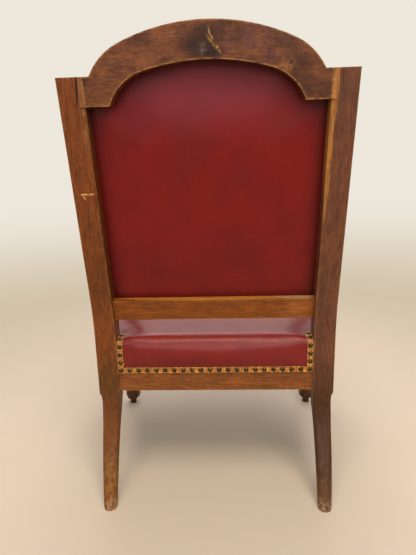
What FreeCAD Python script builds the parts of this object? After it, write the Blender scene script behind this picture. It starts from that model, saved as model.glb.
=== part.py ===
"""Carved wooden armchair with a leather seat and back, made piece by piece as a joiner would.

Lengths are millimetres. Z is up, the front of the chair faces -Y and the sitter's left is +X.
The floor is Z = 0 and the origin is the middle of the chair's outline on the floor.
"""
import FreeCAD
import Part
import math
import os

Vector = FreeCAD.Vector

# Whole chair
CREST_HEIGHT = 1050.0  # rear edge of the crest above the floor
CHAIR_DEPTH = 610.0  # rear edge of the crest to the crowns of the front nails
RECLINE = 10.8  # lean of the back, degrees from upright
JOINT_GAP = 0.15  # room around a tenon in its mortise
SOFT_GAP = 0.3  # room between upholstery and wood

# Back posts, each with its rear leg
POST_SPAN = 583.0  # outer face to outer face
POST_WIDTH = 50.5
POST_DEPTH = 45.0
BEND_HEIGHT = 447.0  # where the upright and the leaning lines of the rear face meet
POST_BEND = 60.0  # tangent length of the bend from upright to leaning
REAR_FOOT = 31.0  # diameter where the leg meets the floor
REAR_FOOT_KICK = 92.0  # rear face at seat level to the middle of the foot
REAR_LEG_RAKE = 29.0  # slope of the straight lower leg, degrees from upright
REAR_ANKLE_WIDTH = 43.0  # width under the hollow below the seat
REAR_ANKLE_HEIGHT = 225.0
REAR_LEG_STEPS = 16
REAR_LEG_BOW = 4.7  # outward bow of the leg between the seat and the floor
POST_FOOT = 248.0  # height where the straight post gives way to the shaped leg
LEG_EDGE = 3.0  # rounding of the leg's edges at the seat
FACET_WIDTH = 12.0  # planed bevel on the inner rear edge, under the crest
FACET_DEPTH = 5.0
FACET_FOOT = 560.0  # height where the bevel runs out

# Arched crest between the posts
CREST_RISE = 85.5  # flat tops of the posts up to the crest
SHOULDER_DEPTH = 53.0  # flat tops of the posts down to the lower edge of the shoulders
CREST_BAND = 63.5  # crest down to the top of the inner arch
OUTER_ARCH_HALF = 226.0
OUTER_ARCH_RADIUS = 125.0  # end arcs of the three-centred arch
OUTER_ARCH_ANGLE = 60.5  # slope where the arch springs, degrees
INNER_ARCH_HALF = 192.0
INNER_ARCH_RADIUS = 104.0
INNER_ARCH_ANGLE = 67.0

# Lower rail of the back
LOWER_RAIL_BOTTOM = 438.0
LOWER_RAIL_TOP = 487.0
LOWER_RAIL_RECESS = 10.0  # behind the rear face of the posts

# Rebate in the front of the back frame, which takes the upholstery
REBATE_WIDTH = 16.0
REBATE_DEPTH = 15.0

# Tenons
TENON_THICKNESS = 12.0
CREST_TENON_LENGTH = 25.0
CREST_TENON_EDGE = 4.5  # shoulder above the tenon
SEAT_TENON_LENGTH = 21.0
SEAT_TENON_EDGE = 14.0  # shoulder above and below the tenon
ARM_TENON_LENGTH = 24.0
ARM_TENON_HEIGHT = 18.0
POST_TENON_WIDTH = 18.0
POST_TENON_LENGTH = 14.0

# Seat frame
RAIL_BOTTOM = 256.0
RAIL_TOP = 372.0
RAIL_THICKNESS = 28.0
RAIL_RECESS = 4.0  # rails behind the faces of the posts and blocks
FRONT_SPAN = 652.0  # outer face to outer face of the front blocks
BLOCK_WIDTH = 50.0
BLOCK_TOP = 410.0
FRONT_BOW = 34.0  # swell of the front rail

# Front legs and arm supports
PEG_DIAMETER = 22.0
PEG_HEIGHT = 21.0
PEG_OUTWARD = 8.5  # middle of the block to the middle of the peg
PEG_BACKWARD = 22.0
KNEE_SWELL = 4.0
SCROLL_RADIUS = 17.0
SCROLL_LENGTH = 44.0
SCROLL_FORWARD = 7.0  # in front of the peg
ARM_POST_SWEEP = 14.0
# from the seat down in even steps: width share of the block, share of the way to the peg, share of the swell
LEG_SECTIONS = (
    (1.00, 0.00, 0.0),
    (1.03, 0.00, 0.7),
    (1.03, 0.00, 1.0),
    (0.97, 0.06, 0.8),
    (0.87, 0.16, 0.45),
    (0.77, 0.31, 0.2),
    (0.68, 0.48, 0.05),
    (0.62, 0.66, 0.0),
    (0.60, 0.83, 0.0),
    (0.67, 0.96, 0.0),
    (0.74, 1.00, 0.0),
)
# from the block up in even steps: width share of the block, share of the sweep
ARM_POST_SECTIONS = (
    (1.00, 0.0),
    (0.80, 0.15),
    (0.70, 0.42),
    (0.665, 0.72),
    (0.66, 0.92),
    (0.665, 1.0),
    (0.69, 0.92),
    (0.74, 0.65),
    (0.80, 0.3),
)

# Arms
ARM_SUPPORT_TOP = 602.0
ARM_REAR_HEIGHT = 646.0  # middle of the arm where it meets the post
ARM_THICKNESS = 36.0
ARM_REAR_WIDTH = 40.0
ARM_FRONT_WIDTH = 46.0
ARM_SWELL = 10.0  # outward bow in plan
ARM_SCROLL_RADIUS = 24.0

# Corner blocks and their screws
CORNER_LEG = 72.0  # length against each rail
CORNER_HEIGHT = 40.0
CORNER_RISE = 12.0  # above the lower edge of the rails
SCREW_RADIUS = 2.0
SCREW_HEAD_RADIUS = 4.0
SCREW_HEAD_HEIGHT = 2.5
SCREW_REACH = 14.0  # into the rail
SCREW_COVER = 12.0  # wood under the head
SCREW_OFFSET = 38.0  # from the corner, along the rail

# Leather, braid and nails
LEATHER = 1.5
LEATHER_EDGE = 306.0  # lower edge of the seat leather
GIMP_WIDTH = 15.0
GIMP_THICKNESS = 1.5
GIMP_BOTTOM = 304.0
GIMP_TOP = 372.0  # top of the upright strips beside the posts
NAIL_RADIUS = 5.5
NAIL_CROWN = 3.5
NAIL_SHANK_RADIUS = 0.8
NAIL_SHANK = 12.0
NAIL_PITCH = 22.0
NAIL_COLUMN_PITCH = 20.5
NAIL_COLUMN = 2  # nails above the row at each end

# Stuffed seat
SEAT_CROWN = 20.0  # rise of the crown above the rails
SEAT_DRAW = 170.0  # distance from the edge over which the crown rises
SEAT_ROLL = 2.5  # tightness of the roll along the edge
SEAT_STEPS = 12  # levels of the seat's dome
HESSIAN = 1.0
HESSIAN_INSET = 5.0
WEB_WIDTH = 50.0
WEB_THICKNESS = 1.3
WEB_INSET = 8.0
WEB_STRIPS = 5
WEB_PITCH_ACROSS = 84.0
WEB_PITCH_ALONG = 72.0
SPRING_ROWS = 3
SPRING_PITCH = 105.0
SPRING_END_RADIUS = 36.0
SPRING_WAIST_RADIUS = 24.0
SPRING_WIRE = 3.6
SPRING_TURNS = 5
SPRING_STEPS = 4  # curved pieces in each turn

# Stuffed back
BACK_CROWN = 27.0  # rise of the stuffing in front of the hessian
BACK_DRAW = 70.0
BACK_ROLL = 1.5
BACK_STEPS = 6
BACK_PAD_GROWTH = 3.0  # edge of the stuffing beyond the opening of the frame
BACK_LEATHER = 1.2
BACK_GIMP_WIDTH = 11.0
BACK_WEB_STRIPS = 4
BACK_WEB_PITCH = 105.0
BACK_WEB_GROWTH = 12.0

# Worked out from the sizes above
LEAN = math.radians(RECLINE)
POST_TOP = CREST_HEIGHT - CREST_RISE
SHOULDER_HEIGHT = POST_TOP - SHOULDER_DEPTH
INNER_ARCH_TOP = CREST_HEIGHT - CREST_BAND
POST_SETBACK = (CREST_HEIGHT - BEND_HEIGHT) * math.tan(LEAN)
POST_OUTER = POST_SPAN / 2
POST_INNER = POST_OUTER - POST_WIDTH
SEAT_REAR = CHAIR_DEPTH / 2 - POST_SETBACK
POST_FRONT = SEAT_REAR - POST_DEPTH
BACK_LINE = CHAIR_DEPTH / 2 - CREST_HEIGHT * math.tan(LEAN)
REAR_FOOT_Y = SEAT_REAR + REAR_FOOT_KICK
RAIL_REAR = SEAT_REAR - RAIL_RECESS
COVER = SOFT_GAP + LEATHER
BOW_FRONT = -CHAIR_DEPTH / 2 + NAIL_CROWN + GIMP_THICKNESS + COVER
BLOCK_OUTER = FRONT_SPAN / 2
BLOCK_INNER = BLOCK_OUTER - BLOCK_WIDTH
RAIL_END_FRONT = BOW_FRONT + FRONT_BOW
BLOCK_FRONT = RAIL_END_FRONT - RAIL_RECESS
BLOCK_REAR = BLOCK_FRONT + BLOCK_WIDTH
BLOCK_X = BLOCK_OUTER - BLOCK_WIDTH / 2
BLOCK_Y = BLOCK_FRONT + BLOCK_WIDTH / 2
FRONT_RAIL_REAR = RAIL_END_FRONT + RAIL_THICKNESS
REAR_RAIL_FRONT = RAIL_REAR - RAIL_THICKNESS
SPLAY = (BLOCK_OUTER - POST_OUTER) / (POST_FRONT - BLOCK_REAR)
BOW_RADIUS = (BLOCK_INNER ** 2 + FRONT_BOW ** 2) / (2 * FRONT_BOW)
BOW_CENTRE = BOW_FRONT + BOW_RADIUS
REBATE_FLOOR = POST_DEPTH - REBATE_DEPTH
HESSIAN_TOP = RAIL_TOP + HESSIAN


def up(height):
    """Distance along the leaning back of a height on its rear face."""
    return height / math.cos(LEAN)


def box(x0, x1, y0, y1, z0, z1):
    return Part.makeBox(x1 - x0, y1 - y0, z1 - z0, Vector(x0, y0, z0))


def grown_box(limits, room):
    """Box with the given limits and the same room added on every side."""
    low = [value - room for value in limits[0::2]]
    high = [value + room for value in limits[1::2]]
    return box(low[0], high[0], low[1], high[1], low[2], high[2])


def prism(points, direction):
    """Solid swept from a straight-sided outline."""
    return Part.Face(Part.makePolygon(points + points[:1])).extrude(direction)


def mirrored(shape):
    return shape.mirror(Vector(0, 0, 0), Vector(1, 0, 0))


def leaned(shape):
    """Shape drawn upright with its rear face at Y = 0, set at the lean of the back."""
    moved = shape.copy()
    moved.rotate(Vector(0, 0, 0), Vector(1, 0, 0), -RECLINE)
    moved.translate(Vector(0, BACK_LINE, 0))
    return moved


def on_back(x, inward, along):
    """Point of the leaning back, by distance in from its rear face and along its height."""
    y = BACK_LINE + along * math.sin(LEAN) - inward * math.cos(LEAN)
    return Vector(x, y, along * math.cos(LEAN) + inward * math.sin(LEAN))


def line(start, end):
    return Part.LineSegment(start, end).toShape()


def arc(start, middle, end):
    return Part.Arc(start, middle, end).toShape()


def rounded_rectangle(x, y, width, depth, radius, z):
    """Level outline with rounded corners about a middle point."""
    edges = []
    half_width = width / 2 - radius
    half_depth = depth / 2 - radius
    quarter = math.pi / 2
    middles = ((1, 1), (-1, 1), (-1, -1), (1, -1))
    for turn, (side_x, side_y) in enumerate(middles):
        centre = Vector(x + side_x * half_width, y + side_y * half_depth, z)
        arms = [Vector(math.cos(a), math.sin(a), 0) * radius
                for a in (turn * quarter, (turn + 0.5) * quarter, (turn + 1) * quarter)]
        corner = [centre + arm for arm in arms]
        edges.append(arc(corner[0], corner[1], corner[2]))
        next_x, next_y = middles[(turn + 1) % 4]
        next_centre = Vector(x + next_x * half_width, y + next_y * half_depth, z)
        edges.append(line(corner[2], next_centre + arms[2]))
    return Part.Wire(edges)


# Joints shared by two pieces

def crest_tenon():
    """Limits of the left tenon of the crest, in the upright drawing of the back."""
    top = up(POST_TOP) - CREST_TENON_EDGE
    bottom = up(SHOULDER_HEIGHT) + REBATE_WIDTH
    rear = (REBATE_FLOOR - TENON_THICKNESS) / 2
    return (POST_INNER, POST_INNER + CREST_TENON_LENGTH, -rear - TENON_THICKNESS, -rear, bottom, top)


def lower_tenon():
    """Limits of the left tenon of the lower back rail, in the upright drawing of the back."""
    middle = (LOWER_RAIL_RECESS + REBATE_FLOOR) / 2
    top = up(LOWER_RAIL_TOP) - SEAT_TENON_EDGE
    bottom = up(LOWER_RAIL_BOTTOM) + SEAT_TENON_EDGE / 2
    half = TENON_THICKNESS / 2
    return (POST_INNER, POST_INNER + CREST_TENON_LENGTH, -middle - half, -middle + half, bottom, top)


def rear_rail_tenon():
    middle = (RAIL_REAR + REAR_RAIL_FRONT) / 2
    half = TENON_THICKNESS / 2
    return (POST_INNER, POST_INNER + SEAT_TENON_LENGTH, middle - half, middle + half,
            RAIL_BOTTOM + SEAT_TENON_EDGE, RAIL_TOP - SEAT_TENON_EDGE)


def front_rail_tenon():
    middle = (RAIL_END_FRONT + FRONT_RAIL_REAR) / 2
    half = TENON_THICKNESS / 2
    return (BLOCK_INNER, BLOCK_INNER + SEAT_TENON_LENGTH, middle - half, middle + half,
            RAIL_BOTTOM + SEAT_TENON_EDGE, RAIL_TOP - SEAT_TENON_EDGE)


def arm_tenon():
    """Limits of the left arm's tenon into the post, in the upright drawing of the back."""
    middle = up(ARM_REAR_HEIGHT - POST_DEPTH * math.sin(LEAN))
    x = (POST_INNER + REBATE_WIDTH + POST_OUTER) / 2
    half = TENON_THICKNESS / 2
    return (x - half, x + half, -POST_DEPTH, -POST_DEPTH + ARM_TENON_LENGTH,
            middle - ARM_TENON_HEIGHT / 2, middle + ARM_TENON_HEIGHT / 2)


def arm_post_top():
    """Middle of the arm support where it meets the arm."""
    return BLOCK_X, BLOCK_Y + ARM_POST_SWEEP * ARM_POST_SECTIONS[-1][1]


def support_tenon():
    x, y = arm_post_top()
    half = POST_TENON_WIDTH / 2
    return (x - half, x + half, y - half, y + half, ARM_SUPPORT_TOP, ARM_SUPPORT_TOP + POST_TENON_LENGTH)


def side_x(y, inset):
    """Outer face of the left side rail at a depth, moved in by an inset."""
    return POST_OUTER - RAIL_RECESS + SPLAY * (POST_FRONT - y) - inset


def side_slab(outer_inset, inner_inset, y0, y1, z0, z1):
    """Piece between two lines parallel to the left side rail."""
    points = [Vector(side_x(y0, outer_inset), y0, z0), Vector(side_x(y1, outer_inset), y1, z0),
              Vector(side_x(y1, inner_inset), y1, z0), Vector(side_x(y0, inner_inset), y0, z0)]
    return prism(points, Vector(0, 0, z1 - z0))


def side_rail_tenons(room):
    """Both tenons of the left side rail, or their mortises when room is given."""
    outer = (RAIL_THICKNESS - TENON_THICKNESS) / 2 - room
    inner = (RAIL_THICKNESS + TENON_THICKNESS) / 2 + room
    bottom = RAIL_BOTTOM + SEAT_TENON_EDGE - room
    top = RAIL_TOP - SEAT_TENON_EDGE + room
    reach = SEAT_TENON_LENGTH + room
    rear = side_slab(outer, inner, POST_FRONT, POST_FRONT + reach, bottom, top)
    front = side_slab(outer, inner, BLOCK_REAR - reach, BLOCK_REAR, bottom, top)
    return rear, front


# Outlines

def arch(half_width, rise, end_radius, angle, base):
    """Edges of a three-centred arch, from its left springing to its right, upright at Y = 0."""
    slope = math.radians(angle)
    end_x = half_width - end_radius * math.sin(slope)
    end_z = -end_radius * math.cos(slope)
    drop = end_z - rise
    crown_radius = (end_radius ** 2 - end_x ** 2 - drop ** 2) / (2 * (drop + end_radius))
    crown_z = rise - crown_radius
    spread = math.atan2(end_x, end_z - crown_z)
    start = math.pi / 2 - slope

    def at(centre_x, centre_z, radius, turn):
        return Vector(centre_x + radius * math.sin(turn), 0, base + centre_z + radius * math.cos(turn))

    ends = [at(end_x, end_z, end_radius, turn)
            for turn in (math.pi / 2 - start, (math.pi / 2 - start + spread) / 2, spread)]
    top = Vector(0, 0, base + rise)
    far = [Vector(-point.x, 0, point.z) for point in reversed(ends)]
    return [arc(ends[0], ends[1], ends[2]), arc(ends[2], top, far[0]), arc(far[0], far[1], far[2])]


def inner_arch(growth):
    base = up(SHOULDER_HEIGHT) + growth
    rise = up(INNER_ARCH_TOP - SHOULDER_HEIGHT)
    return arch(INNER_ARCH_HALF + growth, rise, INNER_ARCH_RADIUS + growth, INNER_ARCH_ANGLE, base)


def back_wire(growth, inward):
    """Opening of the back frame grown all round, at a distance in from its rear face."""
    half = POST_INNER + growth
    low = up(LOWER_RAIL_TOP) - growth
    shoulder = up(SHOULDER_HEIGHT) + growth
    spring = INNER_ARCH_HALF + growth
    edges = [line(Vector(half, 0, low), Vector(half, 0, shoulder)),
             line(Vector(half, 0, shoulder), Vector(spring, 0, shoulder))]
    edges += inner_arch(growth)
    edges += [line(Vector(-spring, 0, shoulder), Vector(-half, 0, shoulder)),
              line(Vector(-half, 0, shoulder), Vector(-half, 0, low)),
              line(Vector(-half, 0, low), Vector(half, 0, low))]
    wire = Part.Wire(edges)
    wire.translate(Vector(0, -inward, 0))
    return wire


def back_plate(growth, inward, thickness):
    """Flat layer of the back, upright, with its rear face at a distance in from the frame's rear."""
    return Part.Face(back_wire(growth, inward)).extrude(Vector(0, -thickness, 0))


def rebate():
    return back_plate(REBATE_WIDTH, REBATE_FLOOR, 2 * REBATE_DEPTH)


def seat_corner(inset):
    """Point where the side line meets the bow of the front rail, both moved in by an inset."""
    reach = POST_OUTER - RAIL_RECESS + SPLAY * POST_FRONT - inset
    radius = BOW_RADIUS - inset
    square = SPLAY ** 2 + 1
    half = reach * SPLAY + BOW_CENTRE
    y = (half - math.sqrt(half ** 2 - square * (reach ** 2 + BOW_CENTRE ** 2 - radius ** 2))) / square
    return reach - SPLAY * y, y


def seat_wire(inset, z):
    """Outline of the seat frame moved in by an inset."""
    rear = RAIL_REAR - inset
    rear_x = side_x(rear, inset)
    front_x, front_y = seat_corner(inset)
    bow = BOW_CENTRE - BOW_RADIUS + inset
    rear_left = Vector(rear_x, rear, z)
    rear_right = Vector(-rear_x, rear, z)
    front_left = Vector(front_x, front_y, z)
    front_right = Vector(-front_x, front_y, z)
    return Part.Wire([line(rear_right, rear_left), line(rear_left, front_left),
                      arc(front_left, Vector(0, bow, z), front_right), line(front_right, rear_right)])


def seat_plate(inset, z0, z1):
    return Part.Face(seat_wire(inset, z0)).extrude(Vector(0, 0, z1 - z0))


def dome_levels(crown, draw, roll, steps):
    """Rise and inset of each level of a stuffed dome, upright at its edge and flat at its crown."""
    turns = [math.pi / 2 * step / steps for step in range(steps + 1)]
    return [(crown * math.sin(turn), draw * (1 - math.cos(turn)) ** roll) for turn in turns]


def seat_dome(inset, start, crown):
    levels = dome_levels(crown, SEAT_DRAW, SEAT_ROLL, SEAT_STEPS)
    return Part.makeLoft([seat_wire(step + inset, start + rise) for rise, step in levels], True, True)


def seat_form(inset, bottom, crown):
    """Upright-sided seat from a bottom level to the top of the rails, with a domed top."""
    return seat_plate(inset, bottom, RAIL_TOP).fuse(seat_dome(inset, RAIL_TOP, crown)).removeSplitter()


def corner_posts(room):
    """Space taken by the four corner posts at seat level, with room around them."""
    high = CREST_HEIGHT / 2
    rear = box(POST_INNER - room, CHAIR_DEPTH, POST_FRONT - room, CHAIR_DEPTH, 0, high)
    front = box(BLOCK_INNER - room, CHAIR_DEPTH, -CHAIR_DEPTH, BLOCK_REAR + room, 0, high)
    return [rear, mirrored(rear), front, mirrored(front)]


# Nails

def nail():
    """One domed nail, its head resting on Z = 0."""
    ball = (NAIL_RADIUS ** 2 + NAIL_CROWN ** 2) / (2 * NAIL_CROWN)
    sphere = Part.makeSphere(ball, Vector(0, 0, NAIL_CROWN - ball))
    head = sphere.common(box(-ball, ball, -ball, ball, 0, ball))
    return head.fuse(nail_shank()).removeSplitter()


def nail_shank():
    return Part.makeCylinder(NAIL_SHANK_RADIUS, NAIL_SHANK, Vector(0, 0, -NAIL_SHANK))


def placed(shape, point, normal):
    """Copy of a shape with its Z axis turned to a direction, at a point."""
    copy = shape.copy()
    copy.Placement = FreeCAD.Placement(point, FreeCAD.Rotation(Vector(0, 0, 1), normal))
    return copy


def nail_group(places):
    """Nails and the holes that their shanks need, at points with outward directions."""
    whole = nail()
    shank = nail_shank()
    nails = Part.makeCompound([placed(whole, point, normal) for point, normal in places])
    holes = [placed(shank, point, normal) for point, normal in places]
    return nails, holes


def row_shares(length):
    """Even shares along a row whose spacing is near the nail pitch."""
    gaps = max(1, round(length / NAIL_PITCH))
    return [step / gaps for step in range(gaps + 1)]


def nail_heights():
    """Heights of the nails in the upright columns, the row's own first."""
    row = GIMP_BOTTOM + GIMP_WIDTH / 2
    return [row + NAIL_COLUMN_PITCH * step for step in range(NAIL_COLUMN + 1)]


def rear_nail_places():
    reach = POST_INNER - SOFT_GAP - GIMP_WIDTH / 2
    y = RAIL_REAR + COVER + GIMP_THICKNESS
    heights = nail_heights()
    spots = [(reach * (2 * share - 1), heights[0]) for share in row_shares(2 * reach)]
    spots += [(side * reach, height) for side in (-1, 1) for height in heights[1:]]
    return [(Vector(x, y, z), Vector(0, 1, 0)) for x, z in spots]


def side_nail_places():
    start = POST_FRONT - SOFT_GAP - GIMP_WIDTH / 2
    end = BLOCK_REAR + SOFT_GAP + GIMP_WIDTH / 2
    heights = nail_heights()
    spots = [(start + (end - start) * share, heights[0]) for share in row_shares(start - end)]
    spots += [(y, height) for y in (start, end) for height in heights[1:]]
    out = COVER + GIMP_THICKNESS
    normal = Vector(1, SPLAY, 0)
    return [(Vector(side_x(y, -out), y, z), normal) for y, z in spots]


def on_bow(angle, out, z):
    """Point in front of the bowed rail's face, at an angle from the middle."""
    radius = BOW_RADIUS + out
    return Vector(radius * math.sin(angle), BOW_CENTRE - radius * math.cos(angle), z)


def front_nail_places():
    reach = math.asin((BLOCK_INNER - SOFT_GAP - GIMP_WIDTH / 2) / BOW_RADIUS)
    heights = nail_heights()
    spots = [(reach * (2 * share - 1), heights[0]) for share in row_shares(2 * reach * BOW_RADIUS)]
    spots += [(side * reach, height) for side in (-1, 1) for height in heights[1:]]
    out = COVER + GIMP_THICKNESS
    return [(on_bow(angle, out, z), Vector(math.sin(angle), -math.cos(angle), 0)) for angle, z in spots]


def back_levels():
    """Distances in from the rear face of the frame to the rear of each layer of the back."""
    levels = {"outer": REBATE_FLOOR}
    levels["web_vertical"] = levels["outer"] + BACK_LEATHER
    levels["web_horizontal"] = levels["web_vertical"] + WEB_THICKNESS
    levels["hessian"] = levels["web_horizontal"] + WEB_THICKNESS
    levels["inner"] = levels["hessian"] + HESSIAN
    levels["gimp"] = levels["inner"] + BACK_LEATHER
    levels["nails"] = levels["gimp"] + GIMP_THICKNESS
    return levels


def back_nail_places():
    """Nails all round the front of the back, upright; the corners each have one."""
    growth = REBATE_WIDTH - SOFT_GAP - BACK_GIMP_WIDTH / 2
    inward = back_levels()["nails"]
    places = []
    for edge in back_wire(growth, inward).Edges:
        gaps = max(1, round(edge.Length / NAIL_PITCH))
        points = edge.discretize(gaps + 1)
        places += [(point, Vector(0, -1, 0)) for point in points[:-1]]
    return places


# Wooden pieces

def swept(start, end, z):
    """Depth of a rear-leg edge that leaves the seat upright, bends back and runs straight to the floor."""
    rake = math.radians(REAR_LEG_RAKE)
    run = end - start
    radius = (POST_FOOT * math.sin(rake) - run * math.cos(rake)) / (1 - math.cos(rake))
    drop = POST_FOOT - z
    bend = radius * math.sin(rake)
    if drop < bend:
        return start + radius - math.sqrt(radius ** 2 - drop ** 2)
    return start + radius * (1 - math.cos(rake)) + (drop - bend) * math.tan(rake)


def rear_leg_width(z):
    """Width of the rear leg: a hollow under the seat, then an easing taper to the foot."""
    if z > REAR_ANKLE_HEIGHT:
        share = (z - REAR_ANKLE_HEIGHT) / (POST_FOOT - REAR_ANKLE_HEIGHT)
        return REAR_ANKLE_WIDTH + (POST_WIDTH - REAR_ANKLE_WIDTH) * share ** 2
    return REAR_FOOT + (REAR_ANKLE_WIDTH - REAR_FOOT) * (z / REAR_ANKLE_HEIGHT) ** 0.75


def rear_leg():
    """Left rear leg below the seat, square at the rail and round at the floor."""
    sections = []
    for step in range(REAR_LEG_STEPS + 1):
        share = 1 - step / REAR_LEG_STEPS
        z = POST_FOOT * share
        width = rear_leg_width(z)
        rear = swept(SEAT_REAR, REAR_FOOT_Y + REAR_FOOT / 2, z)
        front = swept(POST_FRONT, REAR_FOOT_Y - REAR_FOOT / 2, z)
        round_edge = (REAR_FOOT / 2 - 0.5) * (1 - share) + LEG_EDGE * share
        middle = (rear + front) / 2
        bow = REAR_LEG_BOW * math.sin(math.pi * share ** 1.5) ** 0.6
        sections.append(rounded_rectangle(POST_INNER + bow + width / 2, middle, width, rear - front, round_edge, z))
    return Part.makeLoft(sections, True)


def post_upright():
    """Left post above its leg: upright at the seat, then leaning."""
    bend_radius = POST_BEND / math.tan(LEAN / 2)
    bend_z = BEND_HEIGHT - POST_BEND

    def on_bend(share, inward):
        reach = bend_radius + inward
        y = SEAT_REAR + bend_radius - reach * math.cos(LEAN * share)
        return Vector(POST_INNER, y, bend_z + reach * math.sin(LEAN * share))

    rear_foot = Vector(POST_INNER, SEAT_REAR, POST_FOOT)
    front_foot = Vector(POST_INNER, POST_FRONT, POST_FOOT)
    rear_top = on_back(POST_INNER, 0, up(POST_TOP))
    front_top = on_back(POST_INNER, POST_DEPTH, up(POST_TOP))
    rear = [on_bend(share, 0) for share in (0, 0.5, 1)]
    front = [on_bend(share, POST_DEPTH) for share in (1, 0.5, 0)]
    edges = [line(rear_foot, rear[0]), arc(rear[0], rear[1], rear[2]), line(rear[2], rear_top),
             line(rear_top, front_top), line(front_top, front[0]), arc(front[0], front[1], front[2]),
             line(front[2], front_foot), line(front_foot, rear_foot)]
    return Part.Face(Part.Wire(edges)).extrude(Vector(POST_WIDTH, 0, 0))


def facet():
    """Tapering bevel cut from the inner rear edge of the left post, upright."""
    top = up(SHOULDER_HEIGHT)
    corner = Vector(POST_INNER, 0, top)
    across = Vector(POST_INNER + FACET_WIDTH, 0, top)
    inward = Vector(POST_INNER, -FACET_DEPTH, top)
    foot = Vector(POST_INNER, 0, up(FACET_FOOT))
    sides = ((corner, across, inward), (corner, foot, across), (corner, inward, foot), (across, foot, inward))
    faces = [Part.Face(Part.makePolygon([first, second, third, first])) for first, second, third in sides]
    return Part.Solid(Part.Shell(faces))


def back_post(holes):
    post = post_upright().fuse(rear_leg()).removeSplitter()
    mortises = [leaned(grown_box(limits, JOINT_GAP)) for limits in (crest_tenon(), lower_tenon(), arm_tenon())]
    mortises.append(grown_box(rear_rail_tenon(), JOINT_GAP))
    mortises.append(side_rail_tenons(JOINT_GAP)[0])
    return post.cut(mortises + [leaned(facet()), leaned(rebate())]).cut(holes)


def crest_rail(holes):
    base = up(POST_TOP)
    outer = arch(OUTER_ARCH_HALF, up(CREST_HEIGHT - POST_TOP), OUTER_ARCH_RADIUS, OUTER_ARCH_ANGLE, base)
    low = up(SHOULDER_HEIGHT)
    end = POST_INNER
    edges = [line(Vector(end, 0, low), Vector(end, 0, base)),
             line(Vector(end, 0, base), Vector(OUTER_ARCH_HALF, 0, base))] + outer
    edges += [line(Vector(-OUTER_ARCH_HALF, 0, base), Vector(-end, 0, base)),
              line(Vector(-end, 0, base), Vector(-end, 0, low)),
              line(Vector(-end, 0, low), Vector(-INNER_ARCH_HALF, 0, low))]
    edges += list(reversed(inner_arch(0)))
    edges.append(line(Vector(INNER_ARCH_HALF, 0, low), Vector(end, 0, low)))
    outline = Part.Wire(Part.sortEdges(edges)[0])
    rail = Part.Face(outline).extrude(Vector(0, -POST_DEPTH, 0)).cut(rebate())
    tenon = grown_box(crest_tenon(), 0)
    rail = rail.fuse([tenon, mirrored(tenon)]).removeSplitter()
    return leaned(rail).cut(holes)


def lower_back_rail(holes):
    rail = box(-POST_INNER, POST_INNER, -POST_DEPTH, -LOWER_RAIL_RECESS, up(LOWER_RAIL_BOTTOM), up(LOWER_RAIL_TOP))
    tenon = grown_box(lower_tenon(), 0)
    rail = rail.cut(rebate()).fuse([tenon, mirrored(tenon)]).removeSplitter()
    return leaned(rail).cut(holes)


def rear_seat_rail(holes):
    rail = box(-POST_INNER, POST_INNER, REAR_RAIL_FRONT, RAIL_REAR, RAIL_BOTTOM, RAIL_TOP)
    tenon = grown_box(rear_rail_tenon(), 0)
    return rail.fuse([tenon, mirrored(tenon)]).removeSplitter().cut(holes)


def front_seat_rail(holes):
    left = Vector(BLOCK_INNER, RAIL_END_FRONT, RAIL_BOTTOM)
    right = Vector(-BLOCK_INNER, RAIL_END_FRONT, RAIL_BOTTOM)
    rear_left = Vector(BLOCK_INNER, FRONT_RAIL_REAR, RAIL_BOTTOM)
    rear_right = Vector(-BLOCK_INNER, FRONT_RAIL_REAR, RAIL_BOTTOM)
    outline = Part.Wire([arc(left, Vector(0, BOW_FRONT, RAIL_BOTTOM), right), line(right, rear_right),
                         line(rear_right, rear_left), line(rear_left, left)])
    rail = Part.Face(outline).extrude(Vector(0, 0, RAIL_TOP - RAIL_BOTTOM))
    tenon = grown_box(front_rail_tenon(), 0)
    return rail.fuse([tenon, mirrored(tenon)]).removeSplitter().cut(holes)


def side_rail(holes):
    rail = side_slab(0, RAIL_THICKNESS, BLOCK_REAR, POST_FRONT, RAIL_BOTTOM, RAIL_TOP)
    return rail.fuse(list(side_rail_tenons(0))).removeSplitter().cut(holes)


def cabriole():
    """Left front leg from the seat block down to the top of its peg."""
    sections = []
    for step, (width, toward_peg, swell) in enumerate(LEG_SECTIONS):
        rise = 1 - step / (len(LEG_SECTIONS) - 1)
        size = BLOCK_WIDTH * width
        x = BLOCK_X + PEG_OUTWARD * toward_peg + KNEE_SWELL * swell / 2
        y = BLOCK_Y + PEG_BACKWARD * toward_peg - KNEE_SWELL * swell
        z = PEG_HEIGHT + (RAIL_BOTTOM - PEG_HEIGHT) * rise
        round_edge = LEG_EDGE + (size / 2 - LEG_EDGE) * 0.7 * (1 - rise)
        sections.append(rounded_rectangle(x, y, size, size, round_edge, z))
    return Part.makeLoft(sections, True)


def arm_support():
    """Left arm support, from the top of the seat block to the arm."""
    sections = []
    for step, (width, sweep) in enumerate(ARM_POST_SECTIONS):
        rise = step / (len(ARM_POST_SECTIONS) - 1)
        size = BLOCK_WIDTH * width
        z = BLOCK_TOP + (ARM_SUPPORT_TOP - BLOCK_TOP) * rise
        sections.append(rounded_rectangle(BLOCK_X, BLOCK_Y + ARM_POST_SWEEP * sweep, size, size, LEG_EDGE, z))
    return Part.makeLoft(sections, True)


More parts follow.
